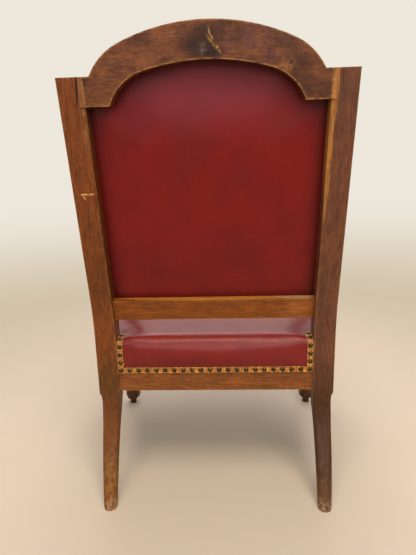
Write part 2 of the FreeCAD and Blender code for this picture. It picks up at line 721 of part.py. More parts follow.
def front_leg():
    block = box(BLOCK_INNER, BLOCK_OUTER, BLOCK_FRONT, BLOCK_REAR, RAIL_BOTTOM, BLOCK_TOP)
    peg_x = BLOCK_X + PEG_OUTWARD
    peg_y = BLOCK_Y + PEG_BACKWARD
    peg = Part.makeCylinder(PEG_DIAMETER / 2, PEG_HEIGHT, Vector(peg_x, peg_y, 0))
    scroll_middle = Vector(peg_x - SCROLL_LENGTH / 2, peg_y - SCROLL_FORWARD, PEG_HEIGHT + SCROLL_RADIUS)
    scroll = Part.makeCylinder(SCROLL_RADIUS, SCROLL_LENGTH, scroll_middle, Vector(1, 0, 0))
    tenon = grown_box(support_tenon(), 0)
    leg = block.fuse([cabriole(), peg, scroll, arm_support(), tenon]).removeSplitter()
    return leg.cut([grown_box(front_rail_tenon(), JOINT_GAP), side_rail_tenons(JOINT_GAP)[1]])


def arm_side():
    """Side outline of the arm: top and bottom curves, the scroll in front and the lean of the post behind."""
    half = ARM_THICKNESS / 2
    post_y, sag = arm_post_top()[1], ARM_SUPPORT_TOP + half
    low_rear = on_back(0, POST_DEPTH, up(ARM_REAR_HEIGHT - POST_DEPTH * math.sin(LEAN)) - half)
    high_rear = on_back(0, POST_DEPTH, up(ARM_REAR_HEIGHT - POST_DEPTH * math.sin(LEAN)) + half)
    scroll_y = post_y - BLOCK_WIDTH * 0.55
    scroll_z = sag + half - ARM_SCROLL_RADIUS
    quarter = low_rear.y + (post_y - low_rear.y) * 0.45
    crown = Vector(0, scroll_y, scroll_z + ARM_SCROLL_RADIUS)
    nose = Vector(0, scroll_y - ARM_SCROLL_RADIUS, scroll_z)
    chin = Vector(0, scroll_y, scroll_z - ARM_SCROLL_RADIUS)
    seat_front = Vector(0, post_y - BLOCK_WIDTH * 0.4, ARM_SUPPORT_TOP)
    seat_rear = Vector(0, post_y + BLOCK_WIDTH * 0.4, ARM_SUPPORT_TOP)
    top = Part.BSplineCurve()
    top.interpolate([high_rear, Vector(0, quarter, sag + half + 2), crown],
                    InitialTangent=Vector(0, -1, -0.25), FinalTangent=Vector(0, -1, 0))
    under = Part.BSplineCurve()
    under.interpolate([seat_rear, Vector(0, quarter, sag - half + 4), low_rear],
                      InitialTangent=Vector(0, 1, 0), FinalTangent=Vector(0, 1, 0.25))
    edges = [top.toShape(), arc(crown, nose, chin), line(chin, seat_front), line(seat_front, seat_rear),
             under.toShape(), line(low_rear, high_rear)]
    return Part.Face(Part.Wire(edges))


def arm():
    """Left arm: its side outline and its plan outline, one cut by the other."""
    reach = POST_OUTER + BLOCK_OUTER
    side = arm_side().extrude(Vector(reach, 0, 0))
    front = BLOCK_FRONT - 2 * ARM_SCROLL_RADIUS
    rear = CHAIR_DEPTH / 2
    rear_x = POST_OUTER - ARM_REAR_WIDTH / 2 - RAIL_RECESS
    outer = Part.BSplineCurve()
    outer.interpolate([Vector(rear_x + ARM_REAR_WIDTH / 2, rear, 0), Vector(side_x(0, -ARM_SWELL), 0, 0),
                       Vector(BLOCK_X + ARM_FRONT_WIDTH / 2, front, 0)])
    inner = Part.BSplineCurve()
    inner.interpolate([Vector(BLOCK_X - ARM_FRONT_WIDTH / 2, front, 0),
                       Vector(side_x(0, ARM_REAR_WIDTH - ARM_SWELL), 0, 0),
                       Vector(rear_x - ARM_REAR_WIDTH / 2, rear, 0)])
    edges = [outer.toShape(), line(outer.EndPoint, inner.StartPoint), inner.toShape(),
             line(inner.EndPoint, outer.StartPoint)]
    plan = Part.Face(Part.Wire(edges)).extrude(Vector(0, 0, CREST_HEIGHT))
    tenon = leaned(grown_box(arm_tenon(), 0))
    return side.common(plan).fuse(tenon).cut(grown_box(support_tenon(), JOINT_GAP))


def corner_outline(front):
    """Plan of a left corner block: against both rails, around the post, its long face across the corner."""
    rail_y = FRONT_RAIL_REAR if front else REAR_RAIL_FRONT
    post_y = BLOCK_REAR if front else POST_FRONT
    post_x = BLOCK_INNER if front else POST_INNER
    along = 1 if front else -1
    side_end = post_y + along * CORNER_LEG
    return [Vector(post_x, rail_y, 0), Vector(post_x - CORNER_LEG, rail_y, 0),
            Vector(side_x(side_end, RAIL_THICKNESS), side_end, 0),
            Vector(side_x(post_y, RAIL_THICKNESS), post_y, 0), Vector(post_x, post_y, 0)]


def screw_places(front):
    """Points where the heads of a left block's screws rest, with the directions out of the rail."""
    rail_y = FRONT_RAIL_REAR if front else REAR_RAIL_FRONT
    post_y = BLOCK_REAR if front else POST_FRONT
    post_x = BLOCK_INNER if front else POST_INNER
    along = 1 if front else -1
    z = RAIL_BOTTOM + CORNER_RISE + CORNER_HEIGHT / 2
    side_y = post_y + along * SCREW_OFFSET
    return [(Vector(post_x - SCREW_OFFSET, rail_y + along * SCREW_COVER, z), Vector(0, along, 0)),
            (Vector(side_x(side_y, RAIL_THICKNESS) - SCREW_COVER, side_y, z), Vector(-1, 0, 0))]


def corner_block(front):
    outline = [point + Vector(0, 0, RAIL_BOTTOM + CORNER_RISE) for point in corner_outline(front)]
    block = prism(outline, Vector(0, 0, CORNER_HEIGHT))
    pocket = Part.makeCylinder(SCREW_HEAD_RADIUS + JOINT_GAP, CORNER_LEG)
    places = screw_places(front)
    pockets = [placed(pocket, point, direction) for point, direction in places]
    return block.cut(pockets).cut(screw_holes(places))


def screw_holes(places):
    shank = Part.makeCylinder(SCREW_RADIUS, SCREW_COVER + SCREW_REACH, Vector(0, 0, -SCREW_COVER - SCREW_REACH))
    return [placed(shank, point, direction) for point, direction in places]


def corner_block_screws(places):
    head = Part.makeCylinder(SCREW_HEAD_RADIUS, SCREW_HEAD_HEIGHT)
    shank = Part.makeCylinder(SCREW_RADIUS, SCREW_COVER + SCREW_REACH, Vector(0, 0, -SCREW_COVER - SCREW_REACH))
    screw = head.fuse(shank).removeSplitter()
    left = [placed(screw, point, direction) for point, direction in places]
    return Part.makeCompound(left + [mirrored(screw) for screw in left])


# Seat upholstery

def strips(count, pitch):
    """Middle lines of evenly spaced webbing."""
    return [pitch * (step - (count - 1) / 2) for step in range(count)]


def seat_middle():
    return (RAIL_REAR + BOW_FRONT) / 2 + FRONT_BOW / 2


def seat_webbing_lengthwise():
    top = RAIL_BOTTOM
    field = seat_plate(WEB_INSET, top - WEB_THICKNESS, top)
    half = WEB_WIDTH / 2
    bands = [box(x - half, x + half, -CHAIR_DEPTH, CHAIR_DEPTH, 0, CREST_HEIGHT)
             for x in strips(WEB_STRIPS, WEB_PITCH_ACROSS)]
    return Part.makeCompound([field.common(band) for band in bands])


def seat_webbing_crosswise():
    top = RAIL_BOTTOM - WEB_THICKNESS
    field = seat_plate(WEB_INSET, top - WEB_THICKNESS, top)
    half = WEB_WIDTH / 2
    bands = [box(-CHAIR_DEPTH, CHAIR_DEPTH, seat_middle() + y - half, seat_middle() + y + half, 0, CREST_HEIGHT)
             for y in strips(WEB_STRIPS, WEB_PITCH_ALONG)]
    return Part.makeCompound([field.common(band) for band in bands])


def spring_point(turn):
    """Point and direction of a waisted coil spring after a number of turns."""
    share = turn / SPRING_TURNS
    swing = SPRING_END_RADIUS - SPRING_WAIST_RADIUS
    radius = SPRING_WAIST_RADIUS + swing * (2 * share - 1) ** 2
    growth = swing * 4 * (2 * share - 1) / SPRING_TURNS
    low = RAIL_BOTTOM + SPRING_WIRE / 2 + JOINT_GAP
    high = RAIL_TOP - SPRING_WIRE / 2 - JOINT_GAP
    angle = 2 * math.pi * turn
    out = Vector(math.cos(angle), math.sin(angle), 0)
    round_about = Vector(-math.sin(angle), math.cos(angle), 0)
    climb = Vector(0, 0, (high - low) / SPRING_TURNS)
    direction = out * growth + round_about * (2 * math.pi * radius) + climb
    return out * radius + Vector(0, 0, low + (high - low) * share), direction.normalize()


def arc_from(start, direction, end):
    """Arc that leaves a point along a direction and ends at another point."""
    chord = end - start
    across = Vector(chord).normalize()
    lean_out = direction - across * direction.dot(across)
    angle = math.acos(max(-1.0, min(1.0, direction.dot(across))))
    bulge = lean_out.normalize() * (chord.Length / 2 * math.tan(angle / 2))
    return arc(start, (start + end) / 2 + bulge, end)


def biarc(start, start_direction, end, end_direction):
    """Two arcs that meet smoothly between two points with given directions."""
    chord = end - start
    both = start_direction + end_direction
    turn = 2 * (1 - start_direction.dot(end_direction))
    along = chord.dot(both)
    reach = (-along + math.sqrt(along ** 2 + turn * chord.dot(chord))) / turn
    middle = (start + start_direction * reach + end - end_direction * reach) / 2
    first = arc_from(start, start_direction, middle)
    second = arc_from(middle, first.tangentAt(first.LastParameter), end)
    return [first, second]


def spring():
    """One waisted coil spring standing between webbing and hessian."""
    stations = [spring_point(step / SPRING_STEPS) for step in range(SPRING_TURNS * SPRING_STEPS + 1)]
    edges = []
    for (start, start_direction), (end, end_direction) in zip(stations, stations[1:]):
        edges += biarc(start, start_direction, end, end_direction)
    path = Part.Wire(edges)
    first, direction = stations[0]
    section = Part.Wire([Part.Circle(first, direction, SPRING_WIRE / 2).toShape()])
    return path.makePipeShell([section], True, False)


def spring_gap():
    """Least room between two turns of a spring, measured on points a twelfth of a turn apart."""
    points = [spring_point(step / 12)[0] for step in range(12 * SPRING_TURNS + 1)]
    apart = [(points[first] - points[second]).Length
             for first in range(len(points)) for second in range(first + 7, len(points))]
    return min(apart) - SPRING_WIRE


def seat_springs():
    coil = spring()
    coils = []
    for x in strips(SPRING_ROWS, SPRING_PITCH):
        for y in strips(SPRING_ROWS, SPRING_PITCH):
            copy = coil.copy()
            copy.translate(Vector(x, seat_middle() + y, 0))
            coils.append(copy)
    return Part.makeCompound(coils)


def seat_hessian():
    return seat_plate(HESSIAN_INSET, RAIL_TOP, HESSIAN_TOP).cut(corner_posts(SOFT_GAP))


def seat_stuffing():
    """Firm stuffing under the leather, with a crown and a rolled edge."""
    dome = seat_dome(SOFT_GAP, RAIL_TOP, SEAT_CROWN - SOFT_GAP)
    keep = box(-CHAIR_DEPTH, CHAIR_DEPTH, -CHAIR_DEPTH, CHAIR_DEPTH, HESSIAN_TOP, CREST_HEIGHT)
    return dome.common(keep).cut(corner_posts(2 * SOFT_GAP))


def seat_leather(holes):
    """One hide over the seat, down the rails and cut around the four corner posts."""
    outer = seat_form(-COVER, LEATHER_EDGE, SEAT_CROWN + LEATHER)
    inner = seat_form(-SOFT_GAP, LEATHER_EDGE - LEATHER, SEAT_CROWN)
    return outer.cut(inner).cut(corner_posts(SOFT_GAP)).cut(holes)


def seat_gimp_rear(holes):
    """Braid along the rear edge and up beside both posts."""
    half = POST_INNER - SOFT_GAP
    inside = half - GIMP_WIDTH
    row = GIMP_BOTTOM + GIMP_WIDTH
    y = RAIL_REAR + COVER
    spots = ((-half, GIMP_BOTTOM), (half, GIMP_BOTTOM), (half, GIMP_TOP), (inside, GIMP_TOP),
             (inside, row), (-inside, row), (-inside, GIMP_TOP), (-half, GIMP_TOP))
    return prism([Vector(x, y, z) for x, z in spots], Vector(0, GIMP_THICKNESS, 0)).cut(holes)


def seat_gimp_side(holes):
    """Braid along the left edge and up beside the post and the block."""
    rear = POST_FRONT - SOFT_GAP
    front = BLOCK_REAR + SOFT_GAP
    row = GIMP_BOTTOM + GIMP_WIDTH
    out = COVER + GIMP_THICKNESS
    strip = side_slab(-out, -COVER, front, rear, GIMP_BOTTOM, row)
    ends = [side_slab(-out, -COVER, front, front + GIMP_WIDTH, row, GIMP_TOP),
            side_slab(-out, -COVER, rear - GIMP_WIDTH, rear, row, GIMP_TOP)]
    return strip.fuse(ends).removeSplitter().cut(holes)


def bow_strip(start, end, z0, z1):
    """Piece of braid on the bowed front between two angles."""
    inner = [on_bow(angle, COVER, z0) for angle in (start, (start + end) / 2, end)]
    outer = [on_bow(angle, COVER + GIMP_THICKNESS, z0) for angle in (end, (start + end) / 2, start)]
    outline = Part.Wire([arc(inner[0], inner[1], inner[2]), line(inner[2], outer[0]),
                         arc(outer[0], outer[1], outer[2]), line(outer[2], inner[0])])
    return Part.Face(outline).extrude(Vector(0, 0, z1 - z0))


def seat_gimp_front(holes):
    """Braid along the bowed front edge and up beside both blocks."""
    reach = math.asin((BLOCK_INNER - SOFT_GAP) / (BOW_RADIUS + COVER + GIMP_THICKNESS))
    width = GIMP_WIDTH / BOW_RADIUS
    row = GIMP_BOTTOM + GIMP_WIDTH
    strip = bow_strip(-reach, reach, GIMP_BOTTOM, row)
    ends = [bow_strip(-reach, -reach + width, row, GIMP_TOP), bow_strip(reach - width, reach, row, GIMP_TOP)]
    return strip.fuse(ends).removeSplitter().cut(holes)


# Back upholstery

def back_outer_leather(holes):
    return leaned(back_plate(REBATE_WIDTH - SOFT_GAP, back_levels()["outer"], BACK_LEATHER)).cut(holes)


def back_webbing(level, upright, holes):
    field = back_plate(BACK_WEB_GROWTH, back_levels()[level], WEB_THICKNESS)
    half = WEB_WIDTH / 2
    middle = up((LOWER_RAIL_TOP + SHOULDER_HEIGHT) / 2)
    far = CREST_HEIGHT * 2
    bands = []
    for offset in strips(BACK_WEB_STRIPS, BACK_WEB_PITCH):
        if upright:
            bands.append(box(offset - half, offset + half, -far, far, 0, far))
        else:
            bands.append(box(-far, far, -far, far, middle + offset - half, middle + offset + half))
    return Part.makeCompound([leaned(field.common(band)).cut(holes) for band in bands])


def back_hessian(holes):
    return leaned(back_plate(BACK_WEB_GROWTH, back_levels()["hessian"], HESSIAN)).cut(holes)


def back_dome(growth, inward, crown):
    edge = BACK_PAD_GROWTH + growth
    levels = dome_levels(crown, BACK_DRAW, BACK_ROLL, BACK_STEPS)
    return Part.makeLoft([back_wire(edge - step, inward + rise) for rise, step in levels], True)


def back_stuffing():
    return leaned(back_dome(-SOFT_GAP, back_levels()["inner"], BACK_CROWN - SOFT_GAP))


def back_inner_leather(holes):
    """Hide over the stuffed back, with a flat edge in the rebate."""
    inward = back_levels()["inner"]
    flange = back_plate(REBATE_WIDTH - SOFT_GAP, inward, BACK_LEATHER)
    shell = flange.fuse(back_dome(BACK_LEATHER, inward, BACK_CROWN + BACK_LEATHER)).removeSplitter()
    return leaned(shell.cut(back_dome(0, inward, BACK_CROWN))).cut(holes)


def back_gimp(holes):
    level = back_levels()["gimp"]
    outer = back_plate(REBATE_WIDTH - SOFT_GAP, level, GIMP_THICKNESS)
    opening = back_plate(REBATE_WIDTH - SOFT_GAP - BACK_GIMP_WIDTH, level - 1, GIMP_THICKNESS + 2)
    return leaned(outer.cut(opening)).cut(holes)


def save(name, shape):
    shape.exportStep("parts/" + name + ".step")


def save_pair(name, left):
    save(name + "_left", left)
    save(name + "_right", mirrored(left))


def main():
    os.makedirs("parts", exist_ok=True)
    rear_nails, rear_holes = nail_group(rear_nail_places())
    side_nails, side_holes = nail_group(side_nail_places())
    front_nails, front_holes = nail_group(front_nail_places())
    flat_nails, flat_holes = nail_group(back_nail_places())
    back_holes = [leaned(hole) for hole in flat_holes]
    left_holes = [hole for hole in back_holes if hole.BoundBox.Center.x > POST_INNER]
    rail_holes = [hole for hole in back_holes if abs(hole.BoundBox.Center.x) <= POST_INNER]
    crest_holes = [hole for hole in rail_holes if hole.BoundBox.Center.z > SHOULDER_HEIGHT]
    lower_holes = [hole for hole in rail_holes if hole.BoundBox.Center.z < LOWER_RAIL_TOP]
    left_screws = screw_places(False) + screw_places(True)
    rear_screws = screw_holes(left_screws[0:1])
    front_screws = screw_holes(left_screws[2:3])
    side_screws = screw_holes([left_screws[1], left_screws[3]])

    save_pair("back_post", back_post(left_holes))
    save("crest_rail", crest_rail(crest_holes))
    save("lower_back_rail", lower_back_rail(lower_holes))
    save("rear_seat_rail", rear_seat_rail(rear_holes + rear_screws + [mirrored(hole) for hole in rear_screws]))
    save("front_seat_rail", front_seat_rail(front_holes + front_screws + [mirrored(hole) for hole in front_screws]))
    save_pair("side_rail", side_rail(side_holes + side_screws))
    save_pair("front_leg", front_leg())
    save_pair("arm", arm())
    save_pair("corner_block_rear", corner_block(False))
    save_pair("corner_block_front", corner_block(True))
    save("corner_block_screws", corner_block_screws(left_screws))

    save("seat_webbing_lengthwise", seat_webbing_lengthwise())
    save("seat_webbing_crosswise", seat_webbing_crosswise())
    save("seat_springs", seat_springs())
    save("seat_hessian", seat_hessian())
    save("seat_stuffing", seat_stuffing())
    right_holes = [mirrored(hole) for hole in side_holes]
    save("seat_leather", seat_leather(rear_holes + front_holes + side_holes + right_holes))
    save("seat_gimp_rear", seat_gimp_rear(rear_holes))
    save("seat_gimp_front", seat_gimp_front(front_holes))
    save_pair("seat_gimp", seat_gimp_side(side_holes))
    save("seat_nails_rear", rear_nails)
    save("seat_nails_front", front_nails)
    save_pair("seat_nails", side_nails)

    save("back_outer_leather", back_outer_leather(back_holes))
    save("back_webbing_vertical", back_webbing("web_vertical", True, back_holes))
    save("back_webbing_horizontal", back_webbing("web_horizontal", False, back_holes))
    save("back_hessian", back_hessian(back_holes))
    save("back_stuffing", back_stuffing())
    save("back_inner_leather", back_inner_leather(back_holes))
    save("back_gimp", back_gimp(back_holes))
    save("back_nails", leaned(flat_nails))
    print("least gap between turns of a spring: %.1f mm" % spring_gap())


main()
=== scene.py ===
"""Dresses the carved armchair: an old waxed frame, oxblood leather, braid and brass nails.

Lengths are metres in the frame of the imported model: Z is up, the front faces -Y, the sitter's left is +X.
"""
import math

import bmesh
import bpy
import numpy
from bpy.props import FloatProperty, FloatVectorProperty, PointerProperty
from mathutils import Matrix, Vector, noise
from mathutils.bvhtree import BVHTree


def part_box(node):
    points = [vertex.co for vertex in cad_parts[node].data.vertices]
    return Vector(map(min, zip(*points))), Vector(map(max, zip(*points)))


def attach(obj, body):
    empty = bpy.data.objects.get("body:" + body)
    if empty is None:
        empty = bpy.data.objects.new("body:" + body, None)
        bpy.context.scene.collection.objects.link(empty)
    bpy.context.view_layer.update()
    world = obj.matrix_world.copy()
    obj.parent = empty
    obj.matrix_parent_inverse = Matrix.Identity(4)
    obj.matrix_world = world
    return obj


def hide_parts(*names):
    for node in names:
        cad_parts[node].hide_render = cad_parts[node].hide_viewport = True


bl_info = {
    "name": "Carved armchair",
    "version": (1, 0, 0),
    "blender": (4, 5, 0),
    "location": "3D View > Sidebar > Armchair",
    "description": "Dresses a packed armchair with wood, leather, braid and brass",
    "category": "Object",
}

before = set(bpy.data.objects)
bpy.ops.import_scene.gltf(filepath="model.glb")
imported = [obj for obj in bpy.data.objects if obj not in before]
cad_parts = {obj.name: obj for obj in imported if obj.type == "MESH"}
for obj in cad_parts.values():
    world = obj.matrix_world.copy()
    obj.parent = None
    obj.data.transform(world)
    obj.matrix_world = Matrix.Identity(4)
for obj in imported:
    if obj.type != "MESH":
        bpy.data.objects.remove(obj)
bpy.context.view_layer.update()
MM = 0.001

# Places of the frame that the soft pieces are cut to
POST_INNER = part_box("back_post_left")[0].x
POST_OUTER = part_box("back_post_left")[1].x
RAIL_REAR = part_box("rear_seat_rail")[1].y
RAIL_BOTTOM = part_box("rear_seat_rail")[0].z
RAIL_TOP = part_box("rear_seat_rail")[1].z
BOW_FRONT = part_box("front_seat_rail")[0].y
BLOCK_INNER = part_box("front_leg_left")[0].x
SEAT_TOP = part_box("seat_leather")[1].z
LEATHER_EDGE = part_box("seat_leather")[0].z
GIMP_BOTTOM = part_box("seat_gimp_rear")[0].z
GIMP_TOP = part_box("seat_gimp_rear")[1].z
CREST_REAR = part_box("crest_rail")[1].y
SHOULDER_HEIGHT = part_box("crest_rail")[0].z

# Sizes that the boxes of the frame do not give
RECLINE = math.radians(10.8)
CREST_HEIGHT = 1.050
RAIL_RECESS = 4 * MM
POST_DEPTH = 45 * MM
POST_FRONT = RAIL_REAR + RAIL_RECESS - POST_DEPTH
BLOCK_WIDTH = 50 * MM
FRONT_BOW = 34 * MM
LEATHER = 1.5 * MM
PANEL_LEATHER = 1.2 * MM
SOFT_GAP = 0.3 * MM
COVER = SOFT_GAP + LEATHER
BLOCK_REAR = BOW_FRONT + FRONT_BOW - RAIL_RECESS + BLOCK_WIDTH
SPLAY = (BLOCK_INNER + BLOCK_WIDTH - POST_OUTER) / (POST_FRONT - BLOCK_REAR)
BOW_RADIUS = (BLOCK_INNER ** 2 + FRONT_BOW ** 2) / (2 * FRONT_BOW)
BOW_CENTRE = BOW_FRONT + BOW_RADIUS
BACK_LINE = CREST_REAR - CREST_HEIGHT * math.tan(RECLINE)
POST_BEND_HEIGHT = 0.447
LEG_BEND_HEIGHT = 0.2
LEG_KICK = 92 * MM
LOWER_RAIL_TOP = 0.487
INNER_ARCH_TOP = 0.9865
INNER_ARCH_HALF = 192 * MM
INNER_ARCH_RADIUS = 104 * MM
INNER_ARCH_ANGLE = math.radians(67)
REBATE_REACH = 15.7 * MM
PANEL_INWARD = 30 * MM
WEB_INWARD = 31.2 * MM
HESSIAN_INWARD = 33.8 * MM
PAD_INWARD = 34.8 * MM
BACK_GIMP_INWARD = 36 * MM
GIMP_WIDTH = 15 * MM
GIMP_ROW = GIMP_BOTTOM + GIMP_WIDTH / 2
GIMP_EDGE = GIMP_BOTTOM + GIMP_WIDTH
BACK_GIMP_WIDTH = 11 * MM
GIMP_THICKNESS = 1.5 * MM
GIMP_BACKING = 0.7 * MM
NAIL_PITCH = 22 * MM
CORNER_NAILS = (1 * MM, 21 * MM, 41 * MM)  # along the braid from the foot of the rear roll
SEAT_TURN = 0.18  # depth beyond which an upright face of the seat looks to the front or the rear
CANVAS = 1 * MM
CANVAS_REACH = 12 * MM  # of the back's hessian and webbing beyond the opening
WEB_WIDTH = 50 * MM
WEB_THICKNESS = 1.3 * MM
WEB_EDGE = 8 * MM  # from the ends of the seat's webbing to the outside of its rails

# Steps in which shapes are drawn
BOW_STEPS = 12
CLOTH_STEPS = 20
WEB_STEP = 6 * MM
BRAID_STEP = 1 * MM

# Where the photograph was taken from
CAMERA_PLACE = Vector((-0.0295, 1.1297, 0.7472))
CAMERA_YAW = 0.0424
CAMERA_PITCH = 0.2116
CAMERA_ROLL = 0.0259
CAMERA_SENSOR = 36  # millimetres along the picture's height
CAMERA_LENS = 26.59


def linear(text):
    """Linear colour with full alpha from an sRGB hex value."""
    parts = [int(text[place:place + 2], 16) / 255 for place in (1, 3, 5)]
    return [part / 12.92 if part <= 0.04045 else ((part + 0.055) / 1.055) ** 2.4 for part in parts] + [1.0]


def length(name, description, default):
    """Property that holds a length."""
    return FloatProperty(name=name, description=description, default=default, unit="LENGTH")


def colour(name, description, default):
    """Property that holds a colour, at first an sRGB hex value."""
    return FloatVectorProperty(name=name, description=description, default=linear(default), size=4,
                               subtype="COLOR")


class ArmchairSizes(bpy.types.PropertyGroup):
    """Sizes of the soft pieces and of the wear on the frame."""

    worn_edge: length("Worn edge", "Rounding that use has given the wooden edges", 1.3 * MM)
    panel_bulge: length("Panel bulge", "Swell of the outer back leather between its edges", 9 * MM)
    panel_draw: length("Panel draw", "Distance from the edge over which the panel swells", 130 * MM)
    roll_radius: length("Roll radius", "Radius of the seat's edge from its face to half over", 30 * MM)
    lip_radius: length("Lip radius", "Radius from half over to the top of the seat", 8 * MM)
    belly: length("Belly", "Swell of the seat's upright faces between the braid and the roll", 6.5 * MM)
    pad_roll: FloatProperty(name="Back roll", description="Tightness of the roll round the stuffed back",
                            default=1.5)
    seat_crown: length("Seat crown", "Rise of the seat's crown above the rails", SEAT_TOP - RAIL_TOP + 5 * MM)
    post_draw: length("Post draw", "Distance from a post over which the seat is drawn down", 24 * MM)
    seat_draw: length("Seat draw", "Distance from the edge over which the seat rises to its crown", 170 * MM)
    pad_crown: length("Back crown", "Rise of the stuffed back in front of its edge", 28 * MM)
    pad_draw: length("Back draw", "Distance from the edge over which the stuffed back rises", 70 * MM)
    skin_voxel: length("Skin voxel", "Mesh size of the stuffed leather before it swells", 4.5 * MM)
    swell: FloatProperty(name="Swell", description="Pressure of the stuffing under the leather", default=4.0)
    seat_cap: length("Seat cap", "Furthest that the seat leather may swell", 2 * MM)
    pad_cap: length("Back cap", "Furthest that the back leather may swell", 6 * MM)
    plait: length("Plait", "Length of one plait of the braid", 5 * MM)
    nail_radius: length("Nail radius", "Radius of a nail's head", 5.5 * MM)
    nail_crown: length("Nail crown", "Height of a nail's head", 3.5 * MM)


class ArmchairColours(bpy.types.PropertyGroup):
    """Colours of the finishes."""

    wood_worn: colour("Worn wood", "Bare wood on rubbed edges", "#B98240")
    # Laid on near other surfaces: dirt in the corners, and painted shade there as well.
    wood_grime_and_shade: colour("Wood dirt", "Old wax and dust in the corners of the wood", "#3A1D0E")
    oxblood: colour("Oxblood", "Leather over most of a face", "#781611")
    # Made darker still, this colour also paints the shade on the leather near the frame.
    oxblood_deep: colour("Deep oxblood", "Leather where dirt and dye have gathered", "#520C0F")
    braid_thread: colour("Braid thread", "Silk of the braid", "#9A5A1A")
    braid_cord: colour("Braid cord", "Bright cords along the braid", "#E2A82E")
    brass: colour("Brass", "Rubbed crowns of the nails", "#5E4C2A")
    brass_dark: colour("Dark brass", "Tarnish around the crowns", "#221A10")
    floor: colour("Floor", "Plain studio floor", "#C4BBAA")


def sizes():
    """Sizes that the scene holds."""
    return bpy.context.scene.armchair_sizes


def colours():
    """Colours that the scene holds."""
    return bpy.context.scene.armchair_colours


# Meshes

def new_mesh(name, points, faces):
    """Mesh object in the scene."""
    mesh = bpy.data.meshes.new(name)
    mesh.from_pydata([tuple(point) for point in points], [], faces)
    piece = bpy.data.objects.new(name, mesh)
    bpy.context.collection.objects.link(piece)
    return piece


def new_piece(name, points, faces, slot):
    """Smooth mesh object that rides on the chair; its slot is not used."""
    piece = new_mesh(name, points, faces)
    piece.data.validate()
    piece.data.shade_smooth()
    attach(piece, "root")
    return piece


def grid_faces(rows, columns, first=0, closed=False):
    """Quads between rows of points; the last row joins the first when closed."""
    faces = []
    for row in range(rows if closed else rows - 1):
        start = first + row * columns
        after = first + (row + 1) % rows * columns
        for column in range(columns - 1):
            faces.append((start + column, start + column + 1, after + column + 1, after + column))
    return faces


def joined(parts):
    """Points and faces of several meshes put together."""
    points = []
    faces = []
    for more, polygons in parts:
        faces += [tuple(len(points) + corner for corner in polygon) for polygon in polygons]
        points += more
    return points, faces


def lofted(rings):
    """Points and faces of a closed skin through rings of equal counts."""
    count = len(rings[0])
    points = [point for ring in rings for point in ring]
    faces = [tuple(reversed(range(count))), tuple(range(len(points) - count, len(points)))]
    for level in range(len(rings) - 1):
        low = level * count
        for step in range(count):
            after = (step + 1) % count
            faces.append((low + step, low + after, low + count + after, low + count + step))
    return points, faces


def applied(piece):
    """Give a piece the mesh that its modifiers make, and drop them."""
    bpy.context.view_layer.update()
    graph = bpy.context.evaluated_depsgraph_get()
    mesh = bpy.data.meshes.new_from_object(piece.evaluated_get(graph))
    piece.modifiers.clear()
    piece.data = mesh
    mesh.shade_smooth()


def places_of(piece):
    """Coordinates of a piece's points as an array."""
    values = numpy.empty(len(piece.data.vertices) * 3)
    piece.data.vertices.foreach_get("co", values)
    return values.reshape(-1, 3)


def set_places(piece, values):
    """Move a piece's points to the coordinates in an array."""
    piece.data.vertices.foreach_set("co", values.ravel())
    piece.data.update()


def add_modifier(piece, kind, **settings):
    """Modifier of a kind with its settings, put on a piece."""
    modifier = piece.modifiers.new(kind.lower(), kind)
    for name, value in settings.items():
        setattr(modifier, name, value)
    return modifier


def dress(piece, material):
    """Give a piece one material."""
    piece.data.materials.clear()
    piece.data.materials.append(material)


def without_faces(piece, test):
    """Drop the faces whose middle and normal pass a test, with any points left loose."""
    work = bmesh.new()
    work.from_mesh(piece.data)
    gone = [face for face in work.faces if test(face.calc_center_median(), face.normal)]
    bmesh.ops.delete(work, geom=gone, context="FACES")
    work.to_mesh(piece.data)
    work.free()


def divided_sheet(outline, spacing):
    """Flat face with the given outline in X and Y, cut into a grid of cells."""
    work = bmesh.new()
    work.faces.new([work.verts.new((x, y, 0)) for x, y in outline])
    for axis in (0, 1):
        normal = Vector((1, 0, 0)) if axis == 0 else Vector((0, 1, 0))
        low = min(point[axis] for point in outline)
        high = max(point[axis] for point in outline)
        for step in range(1, int((high - low) / spacing) + 1):
            everything = work.verts[:] + work.edges[:] + work.faces[:]
            cut = normal * (low + step * spacing)
            bmesh.ops.bisect_plane(work, geom=everything, plane_co=cut, plane_no=normal)
    work.verts.index_update()
    points = [vertex.co.copy() for vertex in work.verts]
    faces = [tuple(vertex.index for vertex in face.verts) for face in work.faces]
    work.free()
    return points, faces


def inflated(piece, held, pressure, cap):
    """Swell a closed skin from inside; held points stay, and no point moves further than the cap."""
    before = places_of(piece)
    group = piece.vertex_groups.new(name="held")
    group.add([int(number) for number in numpy.flatnonzero(held)], 1.0, "REPLACE")
    cloth = piece.modifiers.new("swell", "CLOTH")
    cloth.settings.vertex_group_mass = group.name
    cloth.settings.use_pressure = True
    cloth.settings.uniform_pressure_force = pressure
    cloth.settings.effector_weights.gravity = 0
    for number in range(1, CLOTH_STEPS + 1):
        bpy.context.scene.frame_set(number)
    graph = bpy.context.evaluated_depsgraph_get()
    swollen = piece.evaluated_get(graph).to_mesh()
    after = numpy.empty(before.size)
    swollen.vertices.foreach_get("co", after)
    piece.evaluated_get(graph).to_mesh_clear()
    piece.modifiers.remove(cloth)
    piece.vertex_groups.remove(group)
    bpy.context.scene.frame_set(1)
    move = after.reshape(-1, 3) - before
    reach = numpy.maximum(numpy.linalg.norm(move, axis=1), 1e-9)
    set_places(piece, before + move * numpy.minimum(1, cap / reach)[:, None])


# Outlines of the seat and the back

def side_x(y, inset):
    """Outer face of the left side rail at a depth, moved in by an inset."""
    return POST_OUTER - RAIL_RECESS + SPLAY * (POST_FRONT - y) - inset


def on_bow(angle, out, z):
    """Point in front of the bowed rail's face, at an angle from the middle."""
    radius = BOW_RADIUS + out
    return Vector((radius * math.sin(angle), BOW_CENTRE - radius * math.cos(angle), z))


